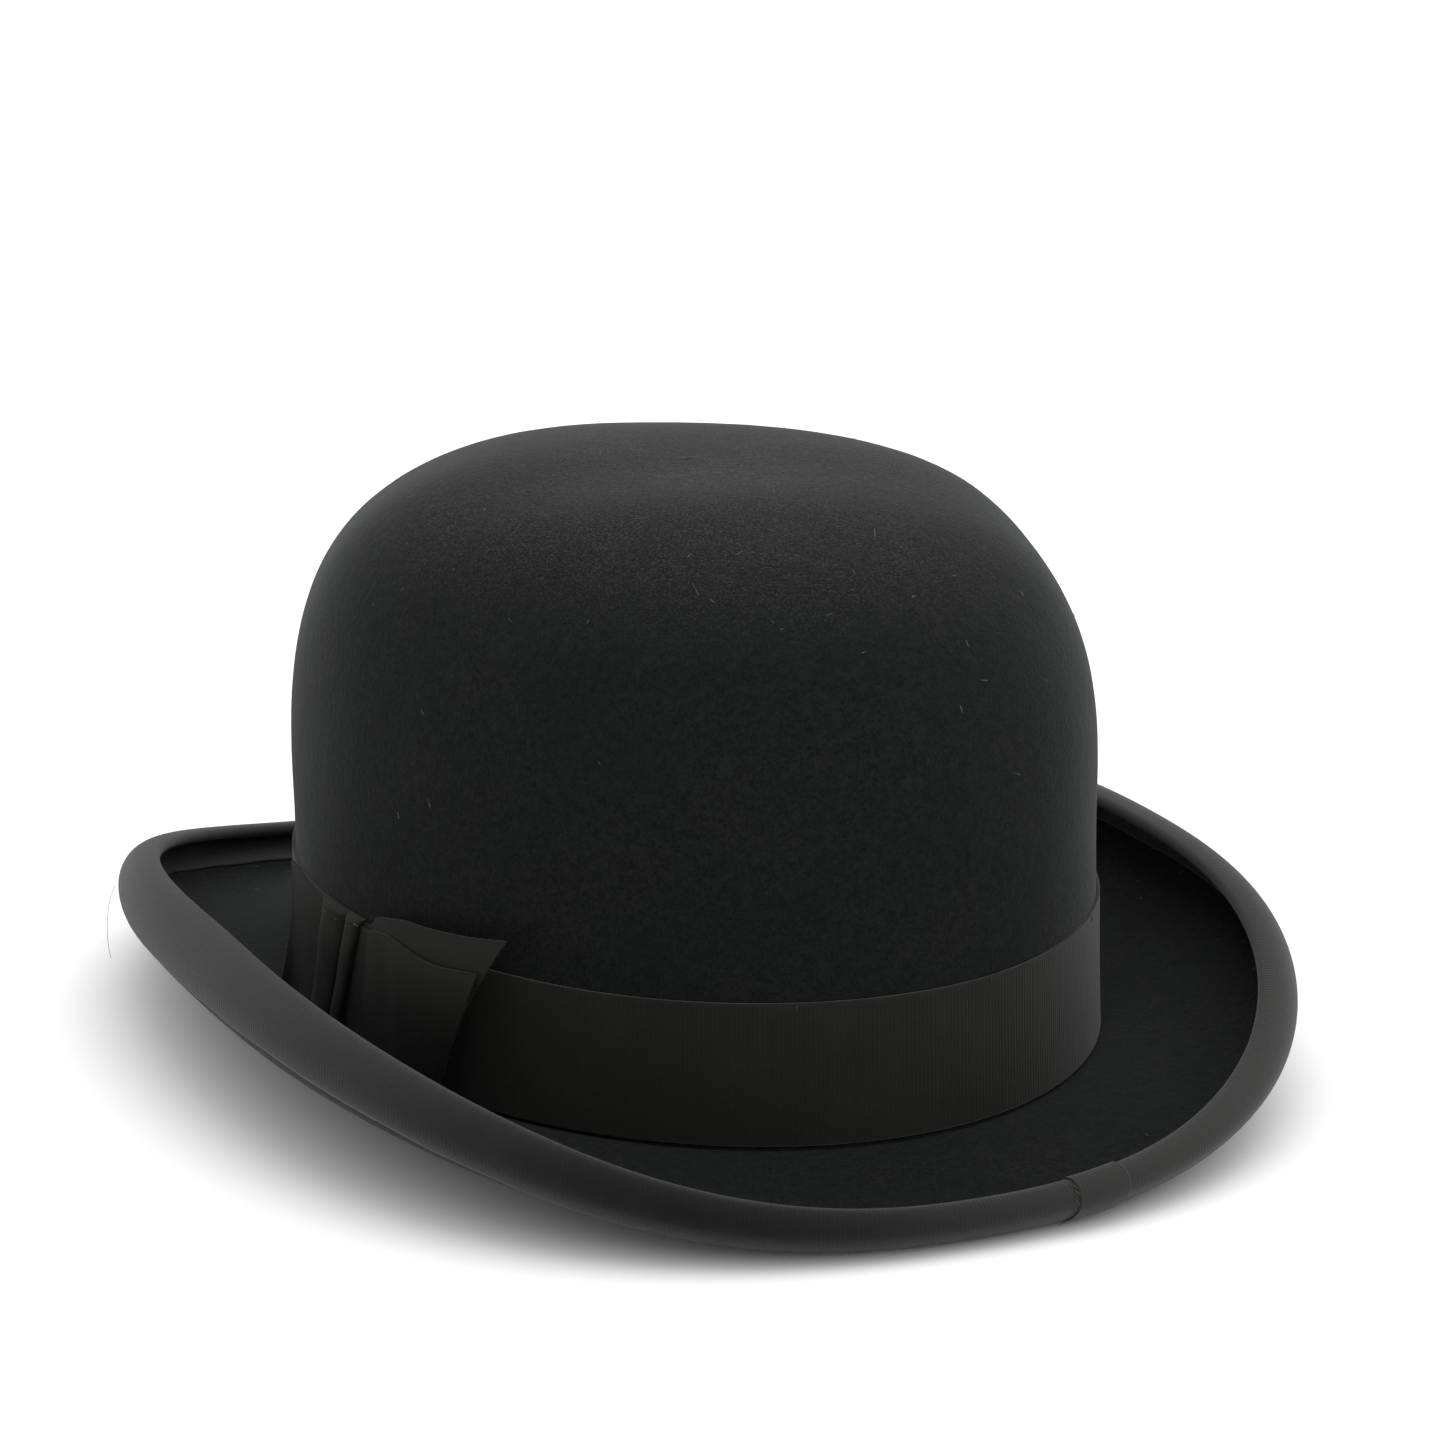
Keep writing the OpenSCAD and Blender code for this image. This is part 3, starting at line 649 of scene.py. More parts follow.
def folded(th, d, t, s_out, s_in, rib, thin=3):
    """Sections of a ribbon folded over the brim's edge: outer face first, then back inside it."""
    face = BINDING_T - d
    out = face - t
    angles = np.linspace(15, 165, FOLD_STEPS)[None, :]

    def bend(low, grow):
        r = (BRIM_T - 2 * low) / 2 + grow
        return brim_point(th, 0 * th + 0 * angles, low - grow + r * (1 - cosd(angles)), r * sind(angles))

    low_out, low_in = s_out[:, ::-1], s_in
    parts = [
        brim_point(th, low_out, out - rib + 0 * low_out),
        bend(out, rib),
        brim_point(th, low_in, BRIM_T - out + rib + 0 * low_in),
        brim_point(th, low_in[:, ::-thin], BRIM_T - face + 0 * low_in[:, ::-thin]),
        bend(face, 0.0)[:, ::-1],
        brim_point(th, low_out[:, ::-thin], face + 0 * low_out[:, ::-thin]),
    ]
    return on_brim(th, np.concatenate(parts, 1))


def make_binding():
    angles, phase = places_round(lambda a: on_brim(a, roll_point(a, 0.0)))
    th = angles[:, None]
    rib = uneven_ribs(phase, 21)
    s_out = (BINDING_W + 0.18 * ring_waves(th, 40, 5)) * FACE_STEPS
    s_in = (BINDING_W + 0.22 * ring_waves(th, 34, 6)) * FACE_STEPS
    p = folded(th, BINDING_GAP, BINDING_T - BINDING_GAP - 0.06, s_out, s_in, BINDING_RIB_H * rib - 0.01)
    across = np.concatenate([-s_out[:, ::-1], np.zeros((len(th), FOLD_STEPS)), s_in], 1)
    selvedge = hump(0, 0.09, 1 - FACE_STEPS)
    edge = np.concatenate([selvedge[:, ::-1], np.zeros((1, FOLD_STEPS)), selvedge], 1)
    pad = ((0, 0), (0, p.shape[1] - across.shape[1]))
    shape = Shape()
    shape.ring(
        p,
        rib=np.pad(np.broadcast_to(rib, across.shape), pad),
        edge=np.pad(np.broadcast_to(edge, across.shape), pad),
        across=np.pad(across, pad),
    )
    obj = shape.piece("brim_binding_ribbon", BINDING, ["brim_binding"])


make_binding()


def make_band():
    angles, phase = places_round(lambda a: wall_point(a, 0.5, 0 * a + 15))
    th = angles[:, None]
    rib = uneven_ribs(phase, 31)
    top = BAND_H + 0.12 * ring_waves(th, 9, 8)
    share = np.array(
        [0, 0.008, 0.02, 0.05, 0.12, 0.25, 0.4, 0.55, 0.7, 0.82, 0.9, 0.95, 0.975, 0.987, 0.995, 1]
    )
    z = BAND_FOOT + (top - BAND_FOOT) * share[None, :]
    selvedge = hump(0, 0.012, share) + hump(0, 0.016, 1 - share)
    d = RIBBON_T - 0.02 + RIB_H * rib * (1 - 0.75 * selvedge) + 0.06 * selvedge
    d = d + 0.10 * ring_waves(th, 12, 9) * step(0.3, 1, share) + 0.1
    back = z[:, ::-2]
    p = np.concatenate([wall_point(th, GAP + d, z), wall_point(th, GAP + 0 * back, back)], 1)
    pad = ((0, 0), (0, back.shape[1]))
    shape = Shape()
    shape.ring(
        p,
        rib=np.pad(np.broadcast_to(rib, z.shape), pad),
        edge=np.pad(np.broadcast_to(selvedge, z.shape), pad),
        across=np.pad(z, pad),
    )
    obj = shape.piece("hat_band_ribbon", BAND, ["hat_band"])


make_band()

# ------------------------ the bow on the wearer's left

EASE = 4.0
SELVEDGE_STEPS = np.array(
    [0, 0.01, 0.025, 0.06, 0.13, 0.22, 0.32, 0.42, 0.52, 0.62, 0.72, 0.82, 0.9, 0.95, 0.98, 0.992, 1]
)[None, :]


def eased(rows, places):
    """Rows of [place, ...] read at many places, with the corners between rows eased."""
    rows = np.array(rows, float)
    n = round(EASE / (places[1] - places[0])) | 1
    pane = np.hanning(n + 2)[1:-1]
    pane /= pane.sum()
    out = []
    for k in range(1, rows.shape[1]):
        v = np.interp(places, rows[:, 0], rows[:, k])
        for _ in range(2):
            ends = 2 * v[0] - v[n // 2 : 0 : -1], 2 * v[-1] - v[-2 : -n // 2 - 1 : -1]
            v = np.convolve(np.concatenate([ends[0], v, ends[1]]), pane, "valid")
        out.append(v[:, None])
    return out


def bow_ribbon(name, rows, node, seed, frayed, cut=None):
    """A length of ribbon along the crown. Rows are [place, d_low, d_high, foot, top, slant, belly], and
    cut is the line of a slanted end, [place, height] at its foot and at its top corner."""
    way = 1 if cut else -1
    last = cut[1][0] if cut else rows[-1][0]
    places = np.arange(rows[0][0], last, RIB_PITCH / PER_RIB)
    d_low, d_high, foot, top, slant, belly = eased(rows, places)
    rng = np.random.default_rng(seed)
    jag = 0.3 * np.interp(places, np.arange(-60, 90, 0.9), rng.uniform(-1, 1, 167))[:, None]
    if cut:
        (x0, z0), (x1, z1) = cut
        on_cut = z0 + (places[:, None] - x0) * (z1 - z0) / (x1 - x0)
        foot = np.minimum(np.maximum(foot, on_cut + jag), top - 0.15)
        near_end = step(1.2, 0.0, foot - on_cut)
    else:
        near_end = step(1.0, 0.0, places - places[0])[:, None]
    share = SELVEDGE_STEPS
    z = foot + (top - foot) * share
    arc = places[:, None] + slant * share
    phase = places / RIB_PITCH
    selvedge = hump(foot, 0.35, z) * (1 - 0.5 * near_end if cut else 1) + hump(top, 0.4, z)
    rib = rib_height(phase)[:, None] * (1 - 0.75 * np.clip(selvedge, 0, 1))
    level = (z - foot.min()) / (top.max() - foot.min())
    d = d_low + (d_high - d_low) * level + 4 * belly * level * (1 - level)
    d = d + 0.22 * ring_waves(arc * 5 + 70 * level, 1, 71) * step(22, 34, np.abs(places)[:, None])
    low = crown_point(arc * DEG_PER_MM, d, z)
    face = crown_point(arc * DEG_PER_MM, d + RIBBON_T - 0.04 + RIB_H * rib + 0.06 * selvedge, z)
    pad = ((0, 0), (0, low.shape[1]))
    shape = Shape()
    shape.strip(
        np.concatenate([face, low[:, ::-1]], 1),
        rib=np.pad(rib, pad, mode="edge"),
        edge=np.pad(np.clip(selvedge, 0, 1), pad),
        across=np.pad(z, pad),
    )
    for v in rng.uniform(0.03, 0.97, frayed):
        if cut:
            at, height = x0 + (x1 - x0) * v, z0 + (z1 - z0) * v
            out = float(np.interp(at, places, (d + 0 * z)[:, 0]))
        else:
            at, height = places[0], foot[0, 0] + (top[0, 0] - foot[0, 0]) * v
            out = float(np.interp(v, share[0], d[0]))
        t = np.linspace(0, 1, 5)
        long, droop, lift = rng.uniform(0.3, 1.3), rng.normal(0, 0.3), rng.normal(0, 0.25)
        path = crown_point(
            (at + way * (long * t - 0.3)) * DEG_PER_MM,
            out + RIBBON_T * rng.uniform(0.2, 0.8) + lift * t * t,
            height - (0.2 + droop) * t * t,
        )
        shape.tube(path, np.linspace(0.07, 0.035, 5), 5, rib=1.0, edge=0.5)
    obj = shape.piece(name, PAINTED_SHADE_BOW, [node])
    long, wide = (places[-1] - places[0]) / 1000, BAND_H / 1000


def knot_middle(z):
    """Place of the knot's middle round the crown at height z: the knot leans."""
    return KNOT_AT - KNOT_SLANT * (BAND_H - z)


def knot_depth(u):
    """Distance of the knot's face from the felt across its width: two soft folds and a groove."""
    first, second = np.clip(u / FOLD_AT, 0, 1), np.clip((u - FOLD_AT) / (1 - FOLD_AT), 0, 1)
    round_first = np.clip(1 - np.abs(2 * first - 1) ** 3.2, 0, 1) ** 0.55
    round_second = np.clip(1 - np.abs(2 * second - 1) ** 2.8, 0, 1) ** 0.6
    return 1.75 + 0.45 * second + 0.85 * round_first + 0.85 * round_second


def make_knot():
    foot, top = BAND_FOOT + 0.3, BAND_H + 1.1
    z = np.linspace(foot, top, 199)[:, None]
    rim_in, rim_out = [0, 0.004, 0.012, 0.025, 0.045], [0.97, 0.985, 0.994, 1]
    u = np.concatenate([rim_in, np.linspace(0.07, 0.95, 76), rim_out])[None, :]
    pinch = 1 - 0.05 * np.sin(np.pi * (z - foot) / (top - foot))
    arc = knot_middle(z) + KNOT_W * (u - 0.5) * pinch
    cap = np.clip(1 - np.minimum(z - foot, top - z) / 1.3, 0, 1)
    sway = 0.14 * waves(stack(arc, z), 11, 61)
    depth = knot_depth(u) + sway
    inner = RIBBON_T + 0.12
    rib = rib_height(z / RIB_PITCH) + 0 * u
    face = inner + 0.1 + (depth - inner - 0.1) * np.sqrt(1 - cap**2) + RIB_H * rib
    back = inner + np.maximum(depth - RIBBON_T - inner, 0) * np.clip(1 - cap / 0.6, 0, 1)
    pad = ((0, 0), (0, u.shape[1]))
    front, rear = (wall_point(arc * DEG_PER_MM, d, z) for d in (face, back))
    shape = Shape()
    shape.strip(
        np.concatenate([front, rear[:, ::-1]], 1),
        rib=np.pad(rib, pad, mode="edge"),
        edge=np.pad(0.25 * hump(0, 0.02, u) + 0 * z, pad),
        across=np.pad(arc, pad),
    )
    obj = shape.piece("bow_knot_pleats", PAINTED_SHADE_BOW, ["bow_knot"])


make_knot()
bow_ribbon(
    "bow_inner_tail_ribbon",
    [
        [0.7, 0.65, 0.65, 2.3, 30.8, 9.5, 0],
        [9.5, 0.65, 0.65, 2.3, 30.8, 9.5, 0],
        [18, 0.9, 0.9, 1.8, 32.2, 4.5, 0],
        [24, 1.3, 1.6, 2.2, 34.8, 1.6, 0.2],
        [30, 2.1, 2.5, 3.0, 36.1, 0.6, 0.4],
        [37.5, 3.0, 3.6, 4.5, 37.7, 0, 0.5],
        [44.5, 3.9, 4.8, 7.0, 38.3, 0, 0.5],
        [50.5, 4.6, 5.8, 9.0, 39.0, 0, 0.4],
        [61, 6.2, 7.7, 10.5, 40.4, 0, 0.2],
        [69.5, 7.5, 9.0, 12.0, 41.9, 0, 0],
    ],
    "bow_inner_tail", 71, 34, ((47.3, 9.5), (69.2, 41.8)),
)
bow_ribbon(
    "bow_outer_tail_ribbon",
    [
        [5.0, 1.25, 1.25, 2.3, 30.8, 9.5, 0],
        [9.5, 1.25, 1.25, 2.3, 30.8, 9.5, 0],
        [18, 1.8, 1.8, 1.6, 30.7, 4.0, 0],
        [24, 2.3, 2.6, 1.5, 32.0, 1.4, 0.3],
        [31, 3.2, 3.6, 1.7, 33.0, 0.5, 0.6],
        [36, 4.1, 4.6, 2.1, 32.8, 0, 0.8],
        [43.5, 5.3, 6.0, 3.2, 32.0, 0, 0.9],
        [47, 5.9, 6.6, 3.8, 31.8, 0, 0.9],
        [51, 6.5, 7.4, 4.5, 31.9, 0, 0.8],
        [55.5, 7.0, 8.2, 5.0, 32.6, 0, 0.5],
        [62.5, 8.0, 9.3, 5.5, 33.5, 0, 0.2],
    ],
    "bow_outer_tail", 72, 30, ((49.7, 4.6), (62.2, 33.4)),
)
bow_ribbon(
    "bow_front_wing_ribbon",
    [
        [-28, 4.2, 1.3, 3.2, 31.0, 0, -1.0],
        [-24.5, 2.2, 1.0, 1.6, 31.2, 0, -0.4],
        [-19.5, 1.1, 0.9, 1.4, 31.2, 1, 0],
        [-10, 0.75, 0.75, 2.0, 30.8, 9.5, 0],
        [0, 0.65, 0.65, 2.3, 30.8, 9.5, 0],
    ],
    "bow_front_wing", 73, 12,
)

# ------------------------ the lap of the binding

EDGE_MM_PER_DEG = 2.55  # along the brim's edge, at the lap


def make_lap():
    places = np.arange(-LAP_HALF, LAP_HALF, RIB_PITCH / PER_RIB / EDGE_MM_PER_DEG)
    th = LAP_AT + places[:, None]
    rib = rib_height(places * EDGE_MM_PER_DEG / RIB_PITCH)[:, None]
    s = (BINDING_W - 3 + 0.25 * waves(th, 1.5, 41)[:, None]) * FACE_STEPS
    p = folded(th, BINDING_T + 0.12, 0.24, s, s, BINDING_RIB_H * rib, 1)
    ends = 0.3 * hump(0, 0.35, LAP_HALF - np.abs(places))[:, None]
    pad = ((0, 0), (0, p.shape[1] - 1))
    shape = Shape()
    shape.strip(p, rib=np.pad(rib, pad, mode="edge"), edge=np.pad(ends, pad, mode="edge"))
    shape.piece("binding_lap_flap", BINDING, ["binding_lap"])


def make_lap_thread():
    shape = Shape()
    rng = np.random.default_rng(43)
    th = np.array([LAP_AT - LAP_HALF - 0.30])
    for s in np.arange(2.4, 12.0, 1.75):
        t = np.linspace(0, 1, 7)
        s_path = s + 1.25 * t + rng.uniform(-0.15, 0.15)
        th_path = th + 0.38 * t - 0.1 + rng.uniform(-0.06, 0.06)
        lift = -0.06 - 0.2 * np.sin(np.pi * t)
        shape.tube(on_brim(th_path, brim_point(th_path, s_path, lift)), 0.10, 6)
    t = np.linspace(0, 1, 9)
    end = on_brim(th - 0.2 * t, brim_point(th - 0.2 * t, 12.5 + 2.2 * t, -0.25 - 0.5 * t * t))
    shape.tube(end, np.linspace(0.10, 0.06, 9), 6)
    shape.piece("binding_lap_stitches", RED_THREAD, ["binding_lap_thread"])


make_lap()
make_lap_thread()

# ------------------------ stitches on band and bow


def stitch(shape, radius, start, run, out, lift):
    """One short stitch on the wall, over a run of [angle, height] from its start, lifted in its middle."""
    t = np.linspace(0, 1, 7)
    d = out + lift * np.sin(np.pi * t)
    shape.tube(wall_point(start[0] + run[0] * t, d, start[1] + run[1] * t), radius, 6)


def make_tacks():
    shape = Shape()
    for th in np.arange(75, 316, 30.0):
        stitch(shape, 0.1, (th, BAND_H - 1.5), (0.12, 1.3), 0.62, 0.22)
    shape.piece("band_tacks", BLACK_THREAD, ["band_tack_stitches"])
    shape = Shape()
    for z in (3.0, BAND_H - 1.6):
        for x in (-6, -0.5, 4.5):
            start = (knot_middle(z) + x) * DEG_PER_MM, z
            stitch(shape, 0.1, start, (1.1 * DEG_PER_MM, 0.2), knot_depth(0.5 + x / KNOT_W), 0.2)
    shape.piece("bow_tacks", BLACK_THREAD, ["bow_stitches"])
    shape = Shape()
    t = np.linspace(0, 1, 9)
    th, d = (17.8 + 1.3 * t) * DEG_PER_MM, 2.75 + 0.5 * np.sin(np.pi * t)
    shape.tube(wall_point(th, d, 31.1 + 0.8 * t - t * t), 0.15, 6)
    shape.piece("bow_red_thread_end", RED_THREAD)


make_tacks()

# ------------------------ the sweatband

RING_STEPS = 480
RING = (np.arange(RING_STEPS) * 360 / RING_STEPS)[:, None]


def girth(ring):
    """Length round a closed ring of points."""
    return np.linalg.norm(ring - np.roll(ring, 1, 0), axis=-1).sum()


def make_leather():
    share = np.concatenate([[0, 0.006, 0.02], np.linspace(0.05, 0.95, 26), [0.975, 0.99, 1]])[None, :]
    top = LEATHER_H - 0.35 + 0.35 * ring_waves(RING, 7, 51)
    z = LEATHER_FOOT + (top - LEATHER_FOOT) * share
    rim = np.sqrt(np.clip(1 - np.clip(1 - (top - z) / 0.6, 0, 1) ** 2, 0.01, 1))
    body = wall_point(RING, LEATHER_D, z)
    crease = 0.10 * waves(body, 16, 52) + 0.05 * waves(body * [1, 1, 4], 12, 53)
    inner = LEATHER_D - LEATHER_T / 2 - (LEATHER_T / 2 - 0.1 + crease * step(0, 6, top - z)) * rim
    outer = LEATHER_D - LEATHER_T / 2 + (LEATHER_T / 2 - 0.02) * rim
    shape = Shape()
    edge = hump(0, 0.9, top - z) + 0.5 * hump(0, 0.5, z - LEATHER_FOOT)
    shape.ring(
        np.concatenate([wall_point(RING, inner, z), wall_point(RING, outer, z)[:, ::-1]], 1),
        edge=np.concatenate([edge, edge[:, ::-1]], 1),
    )
    obj = shape.piece("sweatband_leather", LEATHER, ["sweatband"])
    flat = (LEATHER_H - LEATHER_FOOT) / 1000, girth(body[:, 0]) / 1000


def make_joint_tape():
    side = np.linspace(-1, 1, 15)[None, :]
    z = np.linspace(LEATHER_FOOT + 4.2, LEATHER_H - 1.2, 40)[:, None]
    thin = 1 - np.abs(side) ** 8
    th = 90 + 2.4 * side * (1 - 0.12 * hump(z.max(), 2, z) - 0.12 * hump(z.min(), 2, z))
    p = wall_point(th, LEATHER_IN - 0.22 - 0.3 * thin - 0.05 * waves(stack(th, z), 8, 54), z)
    back = wall_point(th, LEATHER_IN - 0.16 + 0 * z, z)
    shape = Shape()
    shape.strip(np.concatenate([back, p[:, ::-1]], 1))
    shape.piece("sweatband_joint_cover", LEATHER, ["sweatband_joint_tape"])


REED_AT = LEATHER_D - LEATHER_T / 2 - 0.2


def reed_point(th, r, a):
    return wall_point(th, REED_AT + r * cosd(a), -0.2 + r * sind(a))


def make_reed_and_welt():
    around = np.linspace(0, 360, 17)[None, :-1]
    grain = 1 + 0.03 * ring_waves(RING * 3 + around, 9, 55)
    shape = Shape()
    shape.ring(reed_point(RING, REED_D / 2 * grain, around))
    shape.piece("sweatband_reed_cane", CANE, ["sweatband_reed"])
    r_in, r_out = REED_D / 2 + GAP, REED_D / 2 + GAP + WELT_T
    bend = np.linspace(0, -180, 13)[None, :]
    legs = np.array([[WELT_H, 4.0, 2.0]])
    pucker = 0.05 * ring_waves(RING, 90, 56)
    outer = [
        wall_point(RING, REED_AT + r_out, legs),
        reed_point(RING, r_out + pucker, bend),
        wall_point(RING, REED_AT - r_out, np.array([[0.6, 1.0]])),
    ]
    inner = [
        wall_point(RING, REED_AT - r_in, np.array([[1.0, 0.6]])),
        reed_point(RING, r_in, bend[:, ::-1]),
        wall_point(RING, REED_AT + r_in, legs[:, ::-1]),
    ]
    shape = Shape()
    shape.ring(np.concatenate(outer + inner, 1))
    obj = shape.piece("sweatband_welt_tape", TAPE, ["sweatband_welt"])
    flat = (WELT_H + 1.0 + math.pi * r_out) / 1000, girth(outer[0][:, 0]) / 1000


def make_zigzag():
    shape = Shape()
    rng = np.random.default_rng(57)
    apart = 1.5  # degrees from one stitch to the next
    for i in range(round(360 / apart)):
        low, high = (2.0, 4.3) if i % 2 == 0 else (4.3, 2.0)
        low, high = low + rng.uniform(-0.12, 0.12), high + rng.uniform(-0.12, 0.12)
        start, run = ((i + 0.06) * apart, low), (0.88 * apart, high - low)
        stitch(shape, 0.14, start, run, LEATHER_IN - 0.16, -0.16)
    shape.piece("sweatband_zigzag", BLACK_THREAD, ["sweatband_stitching"])


def small_bow_point(x, d, z):
    return wall_point(90 + x / CROWN_HALF_W * 180 / math.pi, LEATHER_IN - 0.95 - d, 11 + z)


def make_small_bow():
    shape = Shape()
    across = np.linspace(-1, 1, 13)
    for side in (-1, 1):
        t = np.linspace(0, 1, 41)
        far = 1.8 + 11.6 * np.sin(np.pi * t) ** 0.8
        depth = 0.62 * np.sin(2 * np.pi * t) * (1 - 0.25 * np.cos(2 * np.pi * t)) + 0.3 * (0.5 - t)
        half = 1.5 + 1.7 * np.sin(np.pi * t) ** 0.6
        sag = -0.9 * (far / 13) ** 2
        rib = 0.03 * rib_height(t * 34)
        rows = []
        for grow in (0.12, -0.12):
            d = 0.72 + depth + np.sign(0.5 - t) * grow * np.abs(np.cos(np.pi * t)) ** 0.2
            x = side * (far + grow * np.sin(np.pi * t) ** 4)
            d = d[:, None] + rib[:, None] * (grow > 0) + 0 * across
            row = small_bow_point(x[:, None], d, half[:, None] * across + sag[:, None])
            rows.append(row if grow > 0 else row[:, ::-1])
        shape.strip(np.concatenate(rows, 1), rib=0.7)
    shape.piece("sweatband_bow_loops_ribbon", SMALL_RIBBON, ["sweatband_bow_loops"])
    shape = Shape()
    x = np.linspace(-1, 1, 21)
    z = np.linspace(-1, 1, 33)[:, None]
    rim = (1 - np.abs(x) ** 4) ** 0.5 * (1 - np.abs(z) ** 6) ** 0.5
    waist = 1.9 - 0.35 * (1 - z * z)
    d = 0.2 + rim * (1.25 - 0.25 * hump(0.2, 0.2, x) + 0.05 * rib_height(z * 2.6))
    rear, front = (small_bow_point(waist * x, v, 2.3 * z) for v in (0.12 + 0 * d, d))
    shape.strip(np.concatenate([rear[:, ::-1], front], 1), rib=0.7)
    shape.piece("sweatband_bow_knot_ribbon", SMALL_RIBBON, ["sweatband_bow_knot"])


make_leather()
make_joint_tape()
make_reed_and_welt()
make_zigzag()
make_small_bow()

# ------------------------ the lining

LINING_STEPS = 960
LINING_RING = (np.arange(LINING_STEPS) * 360 / LINING_STEPS)[:, None]


def gathers(th, seed, deep):
    """Soft folds of gathered satin round the hat."""
    return deep * (0.5 + 0.5 * np.clip(ring_waves(th, 52, seed, 7), -1, 1)) ** 1.5


def make_lining_side():
    foot, top = WELT_H + 0.5, PIPING_UP - SEAM_UP
    z = np.linspace(foot, WALL_H, 14)[None, :-1]
    ups = np.linspace(0, top, 30)[None, :]
    th = LINING_RING
    free = step(2, 16, ups) * (1 - 0.8 * step(36, 48, ups))
    free = np.concatenate([0 * z, free], 1)
    # the folds lean a little as they run up to the piping
    lean = np.concatenate([0 * z, ups * 0.06], 1)
    fold = gathers(th + lean, 61, 1.5) * free + 0.35 * free * (1 + ring_waves(th, 6, 62))
    inner = -SATIN_T - fold

    def face(offset):
        on_wall, on_dome = np.split(LINING_D + offset, [z.shape[1]], 1)
        return np.concatenate([wall_point(th, on_wall, z), dome_point(th, on_dome, ups)], 1)

    low = face(np.minimum(inner + SATIN_T, 0) - 0.02)
    shape = Shape()
    shape.ring(np.concatenate([face(inner + 0.1), low[:, ::-1]], 1))
    obj = shape.piece("lining_side_satin", SATIN, ["lining_side"])


def make_lining_tip():
    th = LINING_RING[::2]
    seam = PIPING_UP + SEAM_UP
    near_middle = np.degrees(np.arccos(np.linspace(0.42, 0.02, 18) ** 1.6))
    ups = np.concatenate([np.linspace(seam, 74, 16), near_middle])[None, :]
    inside = 1 - (cosd(ups) / cosd(seam)) ** (2 / SHOULDER)
    pull = 0.5 * gathers(th, 61, 1.0) * (1 - step(0.0, 0.35, inside))
    sag = 1.1 * step(0.0, 0.8, inside) + 0.25 * waves(dome_point(th, 0.0, ups), 60, 64)

    def sheet(offset):
        p = dome_point(th, LINING_D - 0.4, ups)
        return p - stack(0, 0, 1) * (sag + pull + offset)[..., None]

    shape = Shape()
    p = np.concatenate([sheet(0)[:, ::-1], sheet(0.3)], 1)
    net = shape.grid(p, True)
    for middle in (0, -1):
        shape.fan(net[:, middle], p[:, middle].mean(0))
    obj = shape.piece("lining_tip_satin", SATIN, ["lining_tip"])


def make_piping():
    around = np.linspace(0, 360, 13)[None, :-1]
    c = dome_point(LINING_RING, LINING_D - 0.6 - GAP, PIPING_UP)
    out = c * [1, 1, 0]
    out /= np.linalg.norm(out, axis=-1, keepdims=True)
    twist = 0.62 + 0.09 * np.abs(sind(around / 2 + LINING_RING * 95))
    shape = Shape()
    shape.ring(c + twist[..., None] * (cosd(around)[..., None] * out + stack(0, 0, sind(around))))
    shape.piece("lining_piping_cord", SATIN_CORD, ["lining_piping"])


def make_label():
    place = np.linspace(96, 116, 41)[:, None]
    z = WALL_H + np.linspace(3, 14, 25)[None, :]
    u, v = (place - 96) / 20, (z - WALL_H - 3) / 11
    curl = 1.3 * step(0.72, 1, u) * step(0.55, 1, v) + 0.12 * np.sin(7 * u + 3 * v)
    d = LINING_D - SATIN_T - 0.75 - np.maximum(curl, 0) - 1.6 * step(0, 1, v)
    th = place * DEG_PER_MM
    shape = Shape()
    shape.strip(np.concatenate([crown_point(th, d, z), crown_point(th, d - 0.16, z)[:, ::-1]], 1))
    shape.piece("size_ticket", PAPER, ["size_label"])


make_lining_side()
make_lining_tip()
make_piping()
make_label()

# ------------------------ lint, fibres and one stray hair


def fibre(shape, start, way, long, radius, curl, rng):
    t = np.linspace(0, 1, 6)[:, None]
    side = np.cross(way, rng.normal(size=3))
    side /= np.linalg.norm(side)
    path = start + way * long * t + side * curl * long * t * t
    shape.tube(path, radius * (1 - 0.5 * t[:, 0]), 5)


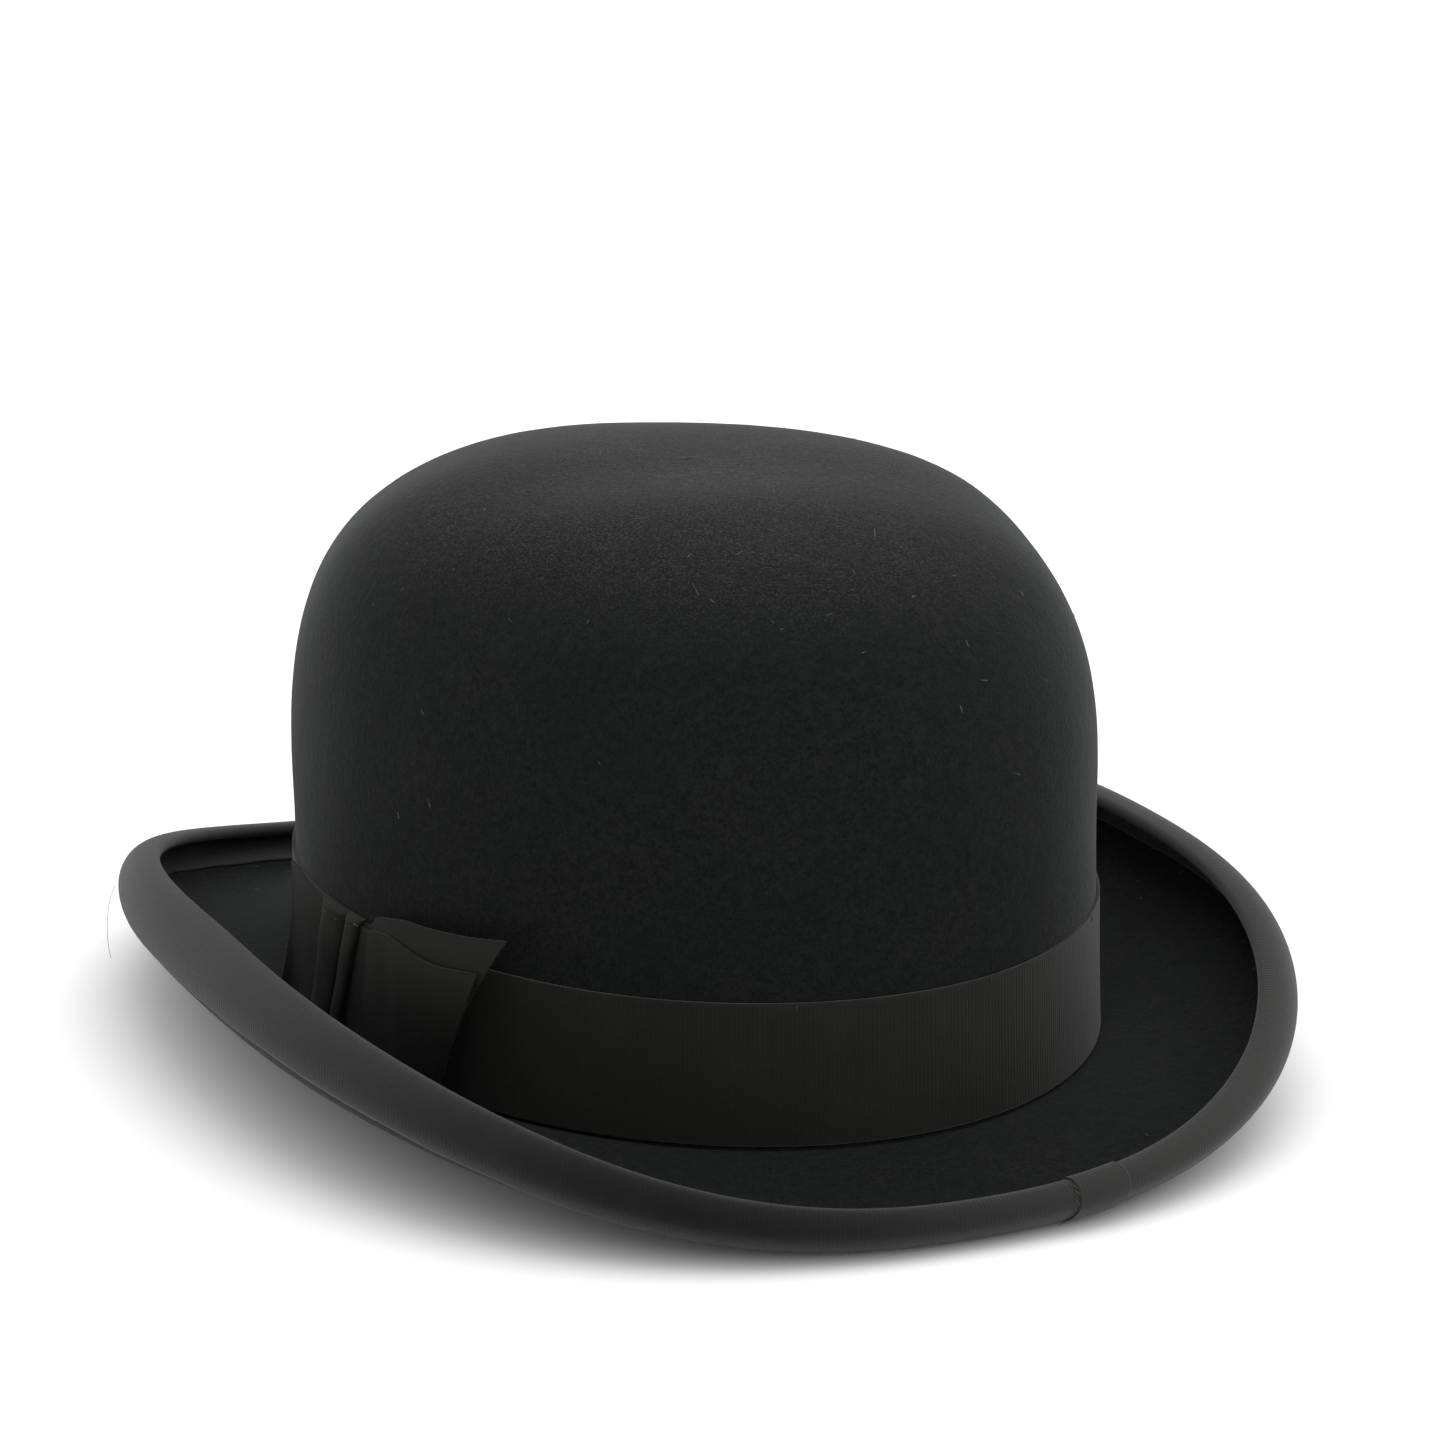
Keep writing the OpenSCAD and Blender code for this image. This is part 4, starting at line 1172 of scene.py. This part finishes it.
def make_lint():
    rng = np.random.default_rng(91)
    shape = Shape()
    # [angle, up the dome, how long, how thick]: the flecks that show most, on the back of the crown
    flecks = [
        (60, 59, 1.6, 0.10), (62, 49, 3.2, 0.09), (64, 48, 2.6, 0.08), (96, 54, 2.0, 0.11),
        (110, 61, 2.6, 0.11), (113, 57, 1.6, 0.10), (118, 47, 1.2, 0.14), (75, 41, 1.2, 0.10),
        (88, 35, 1.0, 0.10), (110, 25, 1.8, 0.12), (103, 22, 1.6, 0.10), (24, 3, 2.0, 0.11),
        (18, 1, 1.4, 0.10), (70, 60, 1.4, 0.08), (45, 40, 1.2, 0.08), (131, 38, 1.2, 0.10),
    ]
    for th, up, long, radius in flecks + [
        (rng.uniform(0, 360), rng.uniform(0, 86), rng.uniform(0.5, 1.6), rng.uniform(0.05, 0.09))
        for _ in range(70)
    ]:
        steps = ((th, up), (th + 0.5, up), (th, up + 1))
        p, across, along = (dome_point(np.array(a), 0.28, np.array(b)) for a, b in steps)
        way = (across - p) / np.linalg.norm(across - p) * rng.normal() + (along - p) * rng.normal()
        fibre(shape, p, way / np.linalg.norm(way), long, radius, rng.normal(0, 0.35), rng)
    for _ in range(60):
        th, s = np.array(rng.uniform(0, 360)), np.array(rng.uniform(18, 34))
        steps = ((th, s), (th + 0.5, s), (th, s + 1))
        p, across, along = (on_brim(a, brim_point(a, b, np.array(BRIM_T))) for a, b in steps)
        way = (across - p) * rng.normal() + (along - p) * rng.normal()
        long, radius = rng.uniform(0.4, 1.5), rng.uniform(0.05, 0.1)
        fibre(shape, p, way / np.linalg.norm(way), long, radius, rng.normal(0, 0.35), rng)
    shape.piece("lint_flecks", LINT)
    shape = Shape()
    t = np.linspace(0, 1, 24)
    th = np.array(-26.0)
    start = on_brim(th, roll_point(th, np.array(-6.0)))
    hang = stack(0.6 + 2.4 * np.sin(2.2 * t), -0.5 + 1.5 * t * t, -15.5 * t + 1.2 * np.sin(5 * t))
    shape.tube(start + hang, 0.055, 5)
    shape.piece("stray_hair", BLACK_THREAD)


make_lint()

# ------------------------ floor and light

# the way the dimmer light comes from, and how the strength falls towards it: [from, to, most, least]
FRONT_WAY = (0.70, 0.50, -0.50)
FRONT_FADE = (-0.5, 0.8, 1.3, 0.6)


def make_floor():
    size, low = 30.0, -0.00004
    mesh = bpy.data.meshes.new("floor")
    corners = [(-size, -size, low), (size, -size, low), (size, size, low), (-size, size, low)]
    mesh.from_pydata(corners, [], [(0, 1, 2, 3)])
    mesh.update()
    g = Graph("white_paper", Roughness=0.9, Specular_IOR_Level=0.1)
    tone = g.noise(3, 2)
    mesh.materials.append(g.finish(g.mix(tone, (0.93, 0.93, 0.93), (0.95, 0.95, 0.95))))
    new_object("floor", mesh)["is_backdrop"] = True


def make_light(name, place, aim, size, power):
    data = bpy.data.lights.new(name, "AREA")
    data.shape, data.size, data.energy = "DISK", size, power
    away = np.array(place) - np.array(aim)
    away = away / np.linalg.norm(away)
    side = np.cross([0, 0, 1], away)
    side /= np.linalg.norm(side)
    new_object(name, data).matrix_world = turned_to([side, np.cross(away, side), away], place)


def make_world():
    """White all round to look at; the light itself is weaker from the front than from above and behind."""
    world = bpy.data.worlds.new("studio")
    world.use_nodes = True
    tree = world.node_tree
    tree.nodes.remove(tree.nodes["Background"])
    place = add_node(tree, "ShaderNodeTexCoord", {}, "Generated")
    turn = add_node(tree, "ShaderNodeVectorMath", {0: place, 1: FRONT_WAY}, "Value", operation="DOT_PRODUCT")
    fade = {"Value": turn} | dict(zip(("From Min", "From Max", "To Min", "To Max"), FRONT_FADE))
    strength = add_node(tree, "ShaderNodeMapRange", fade, "Result", interpolation_type="SMOOTHSTEP")
    light, white = (
        add_node(tree, "ShaderNodeBackground", {"Color": (1, 1, 1, 1), "Strength": v})
        for v in (strength, 1.0)
    )
    seen = add_node(tree, "ShaderNodeLightPath", {}, "Is Camera Ray")
    both = add_node(tree, "ShaderNodeMixShader", {0: seen, 1: light, 2: white})
    tree.links.new(both, tree.nodes["World Output"].inputs["Surface"])
    bpy.context.scene.world = world


make_world()
make_floor()
make_light("soft_key", (-0.3, -0.2, 2.0), (0, 0, 0.05), 2.2, 12)
bpy.context.scene.view_settings.view_transform = "Standard"

{name: [list(p) for p in box] for name, box in (("cad", cad_box), ("visual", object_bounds()))}
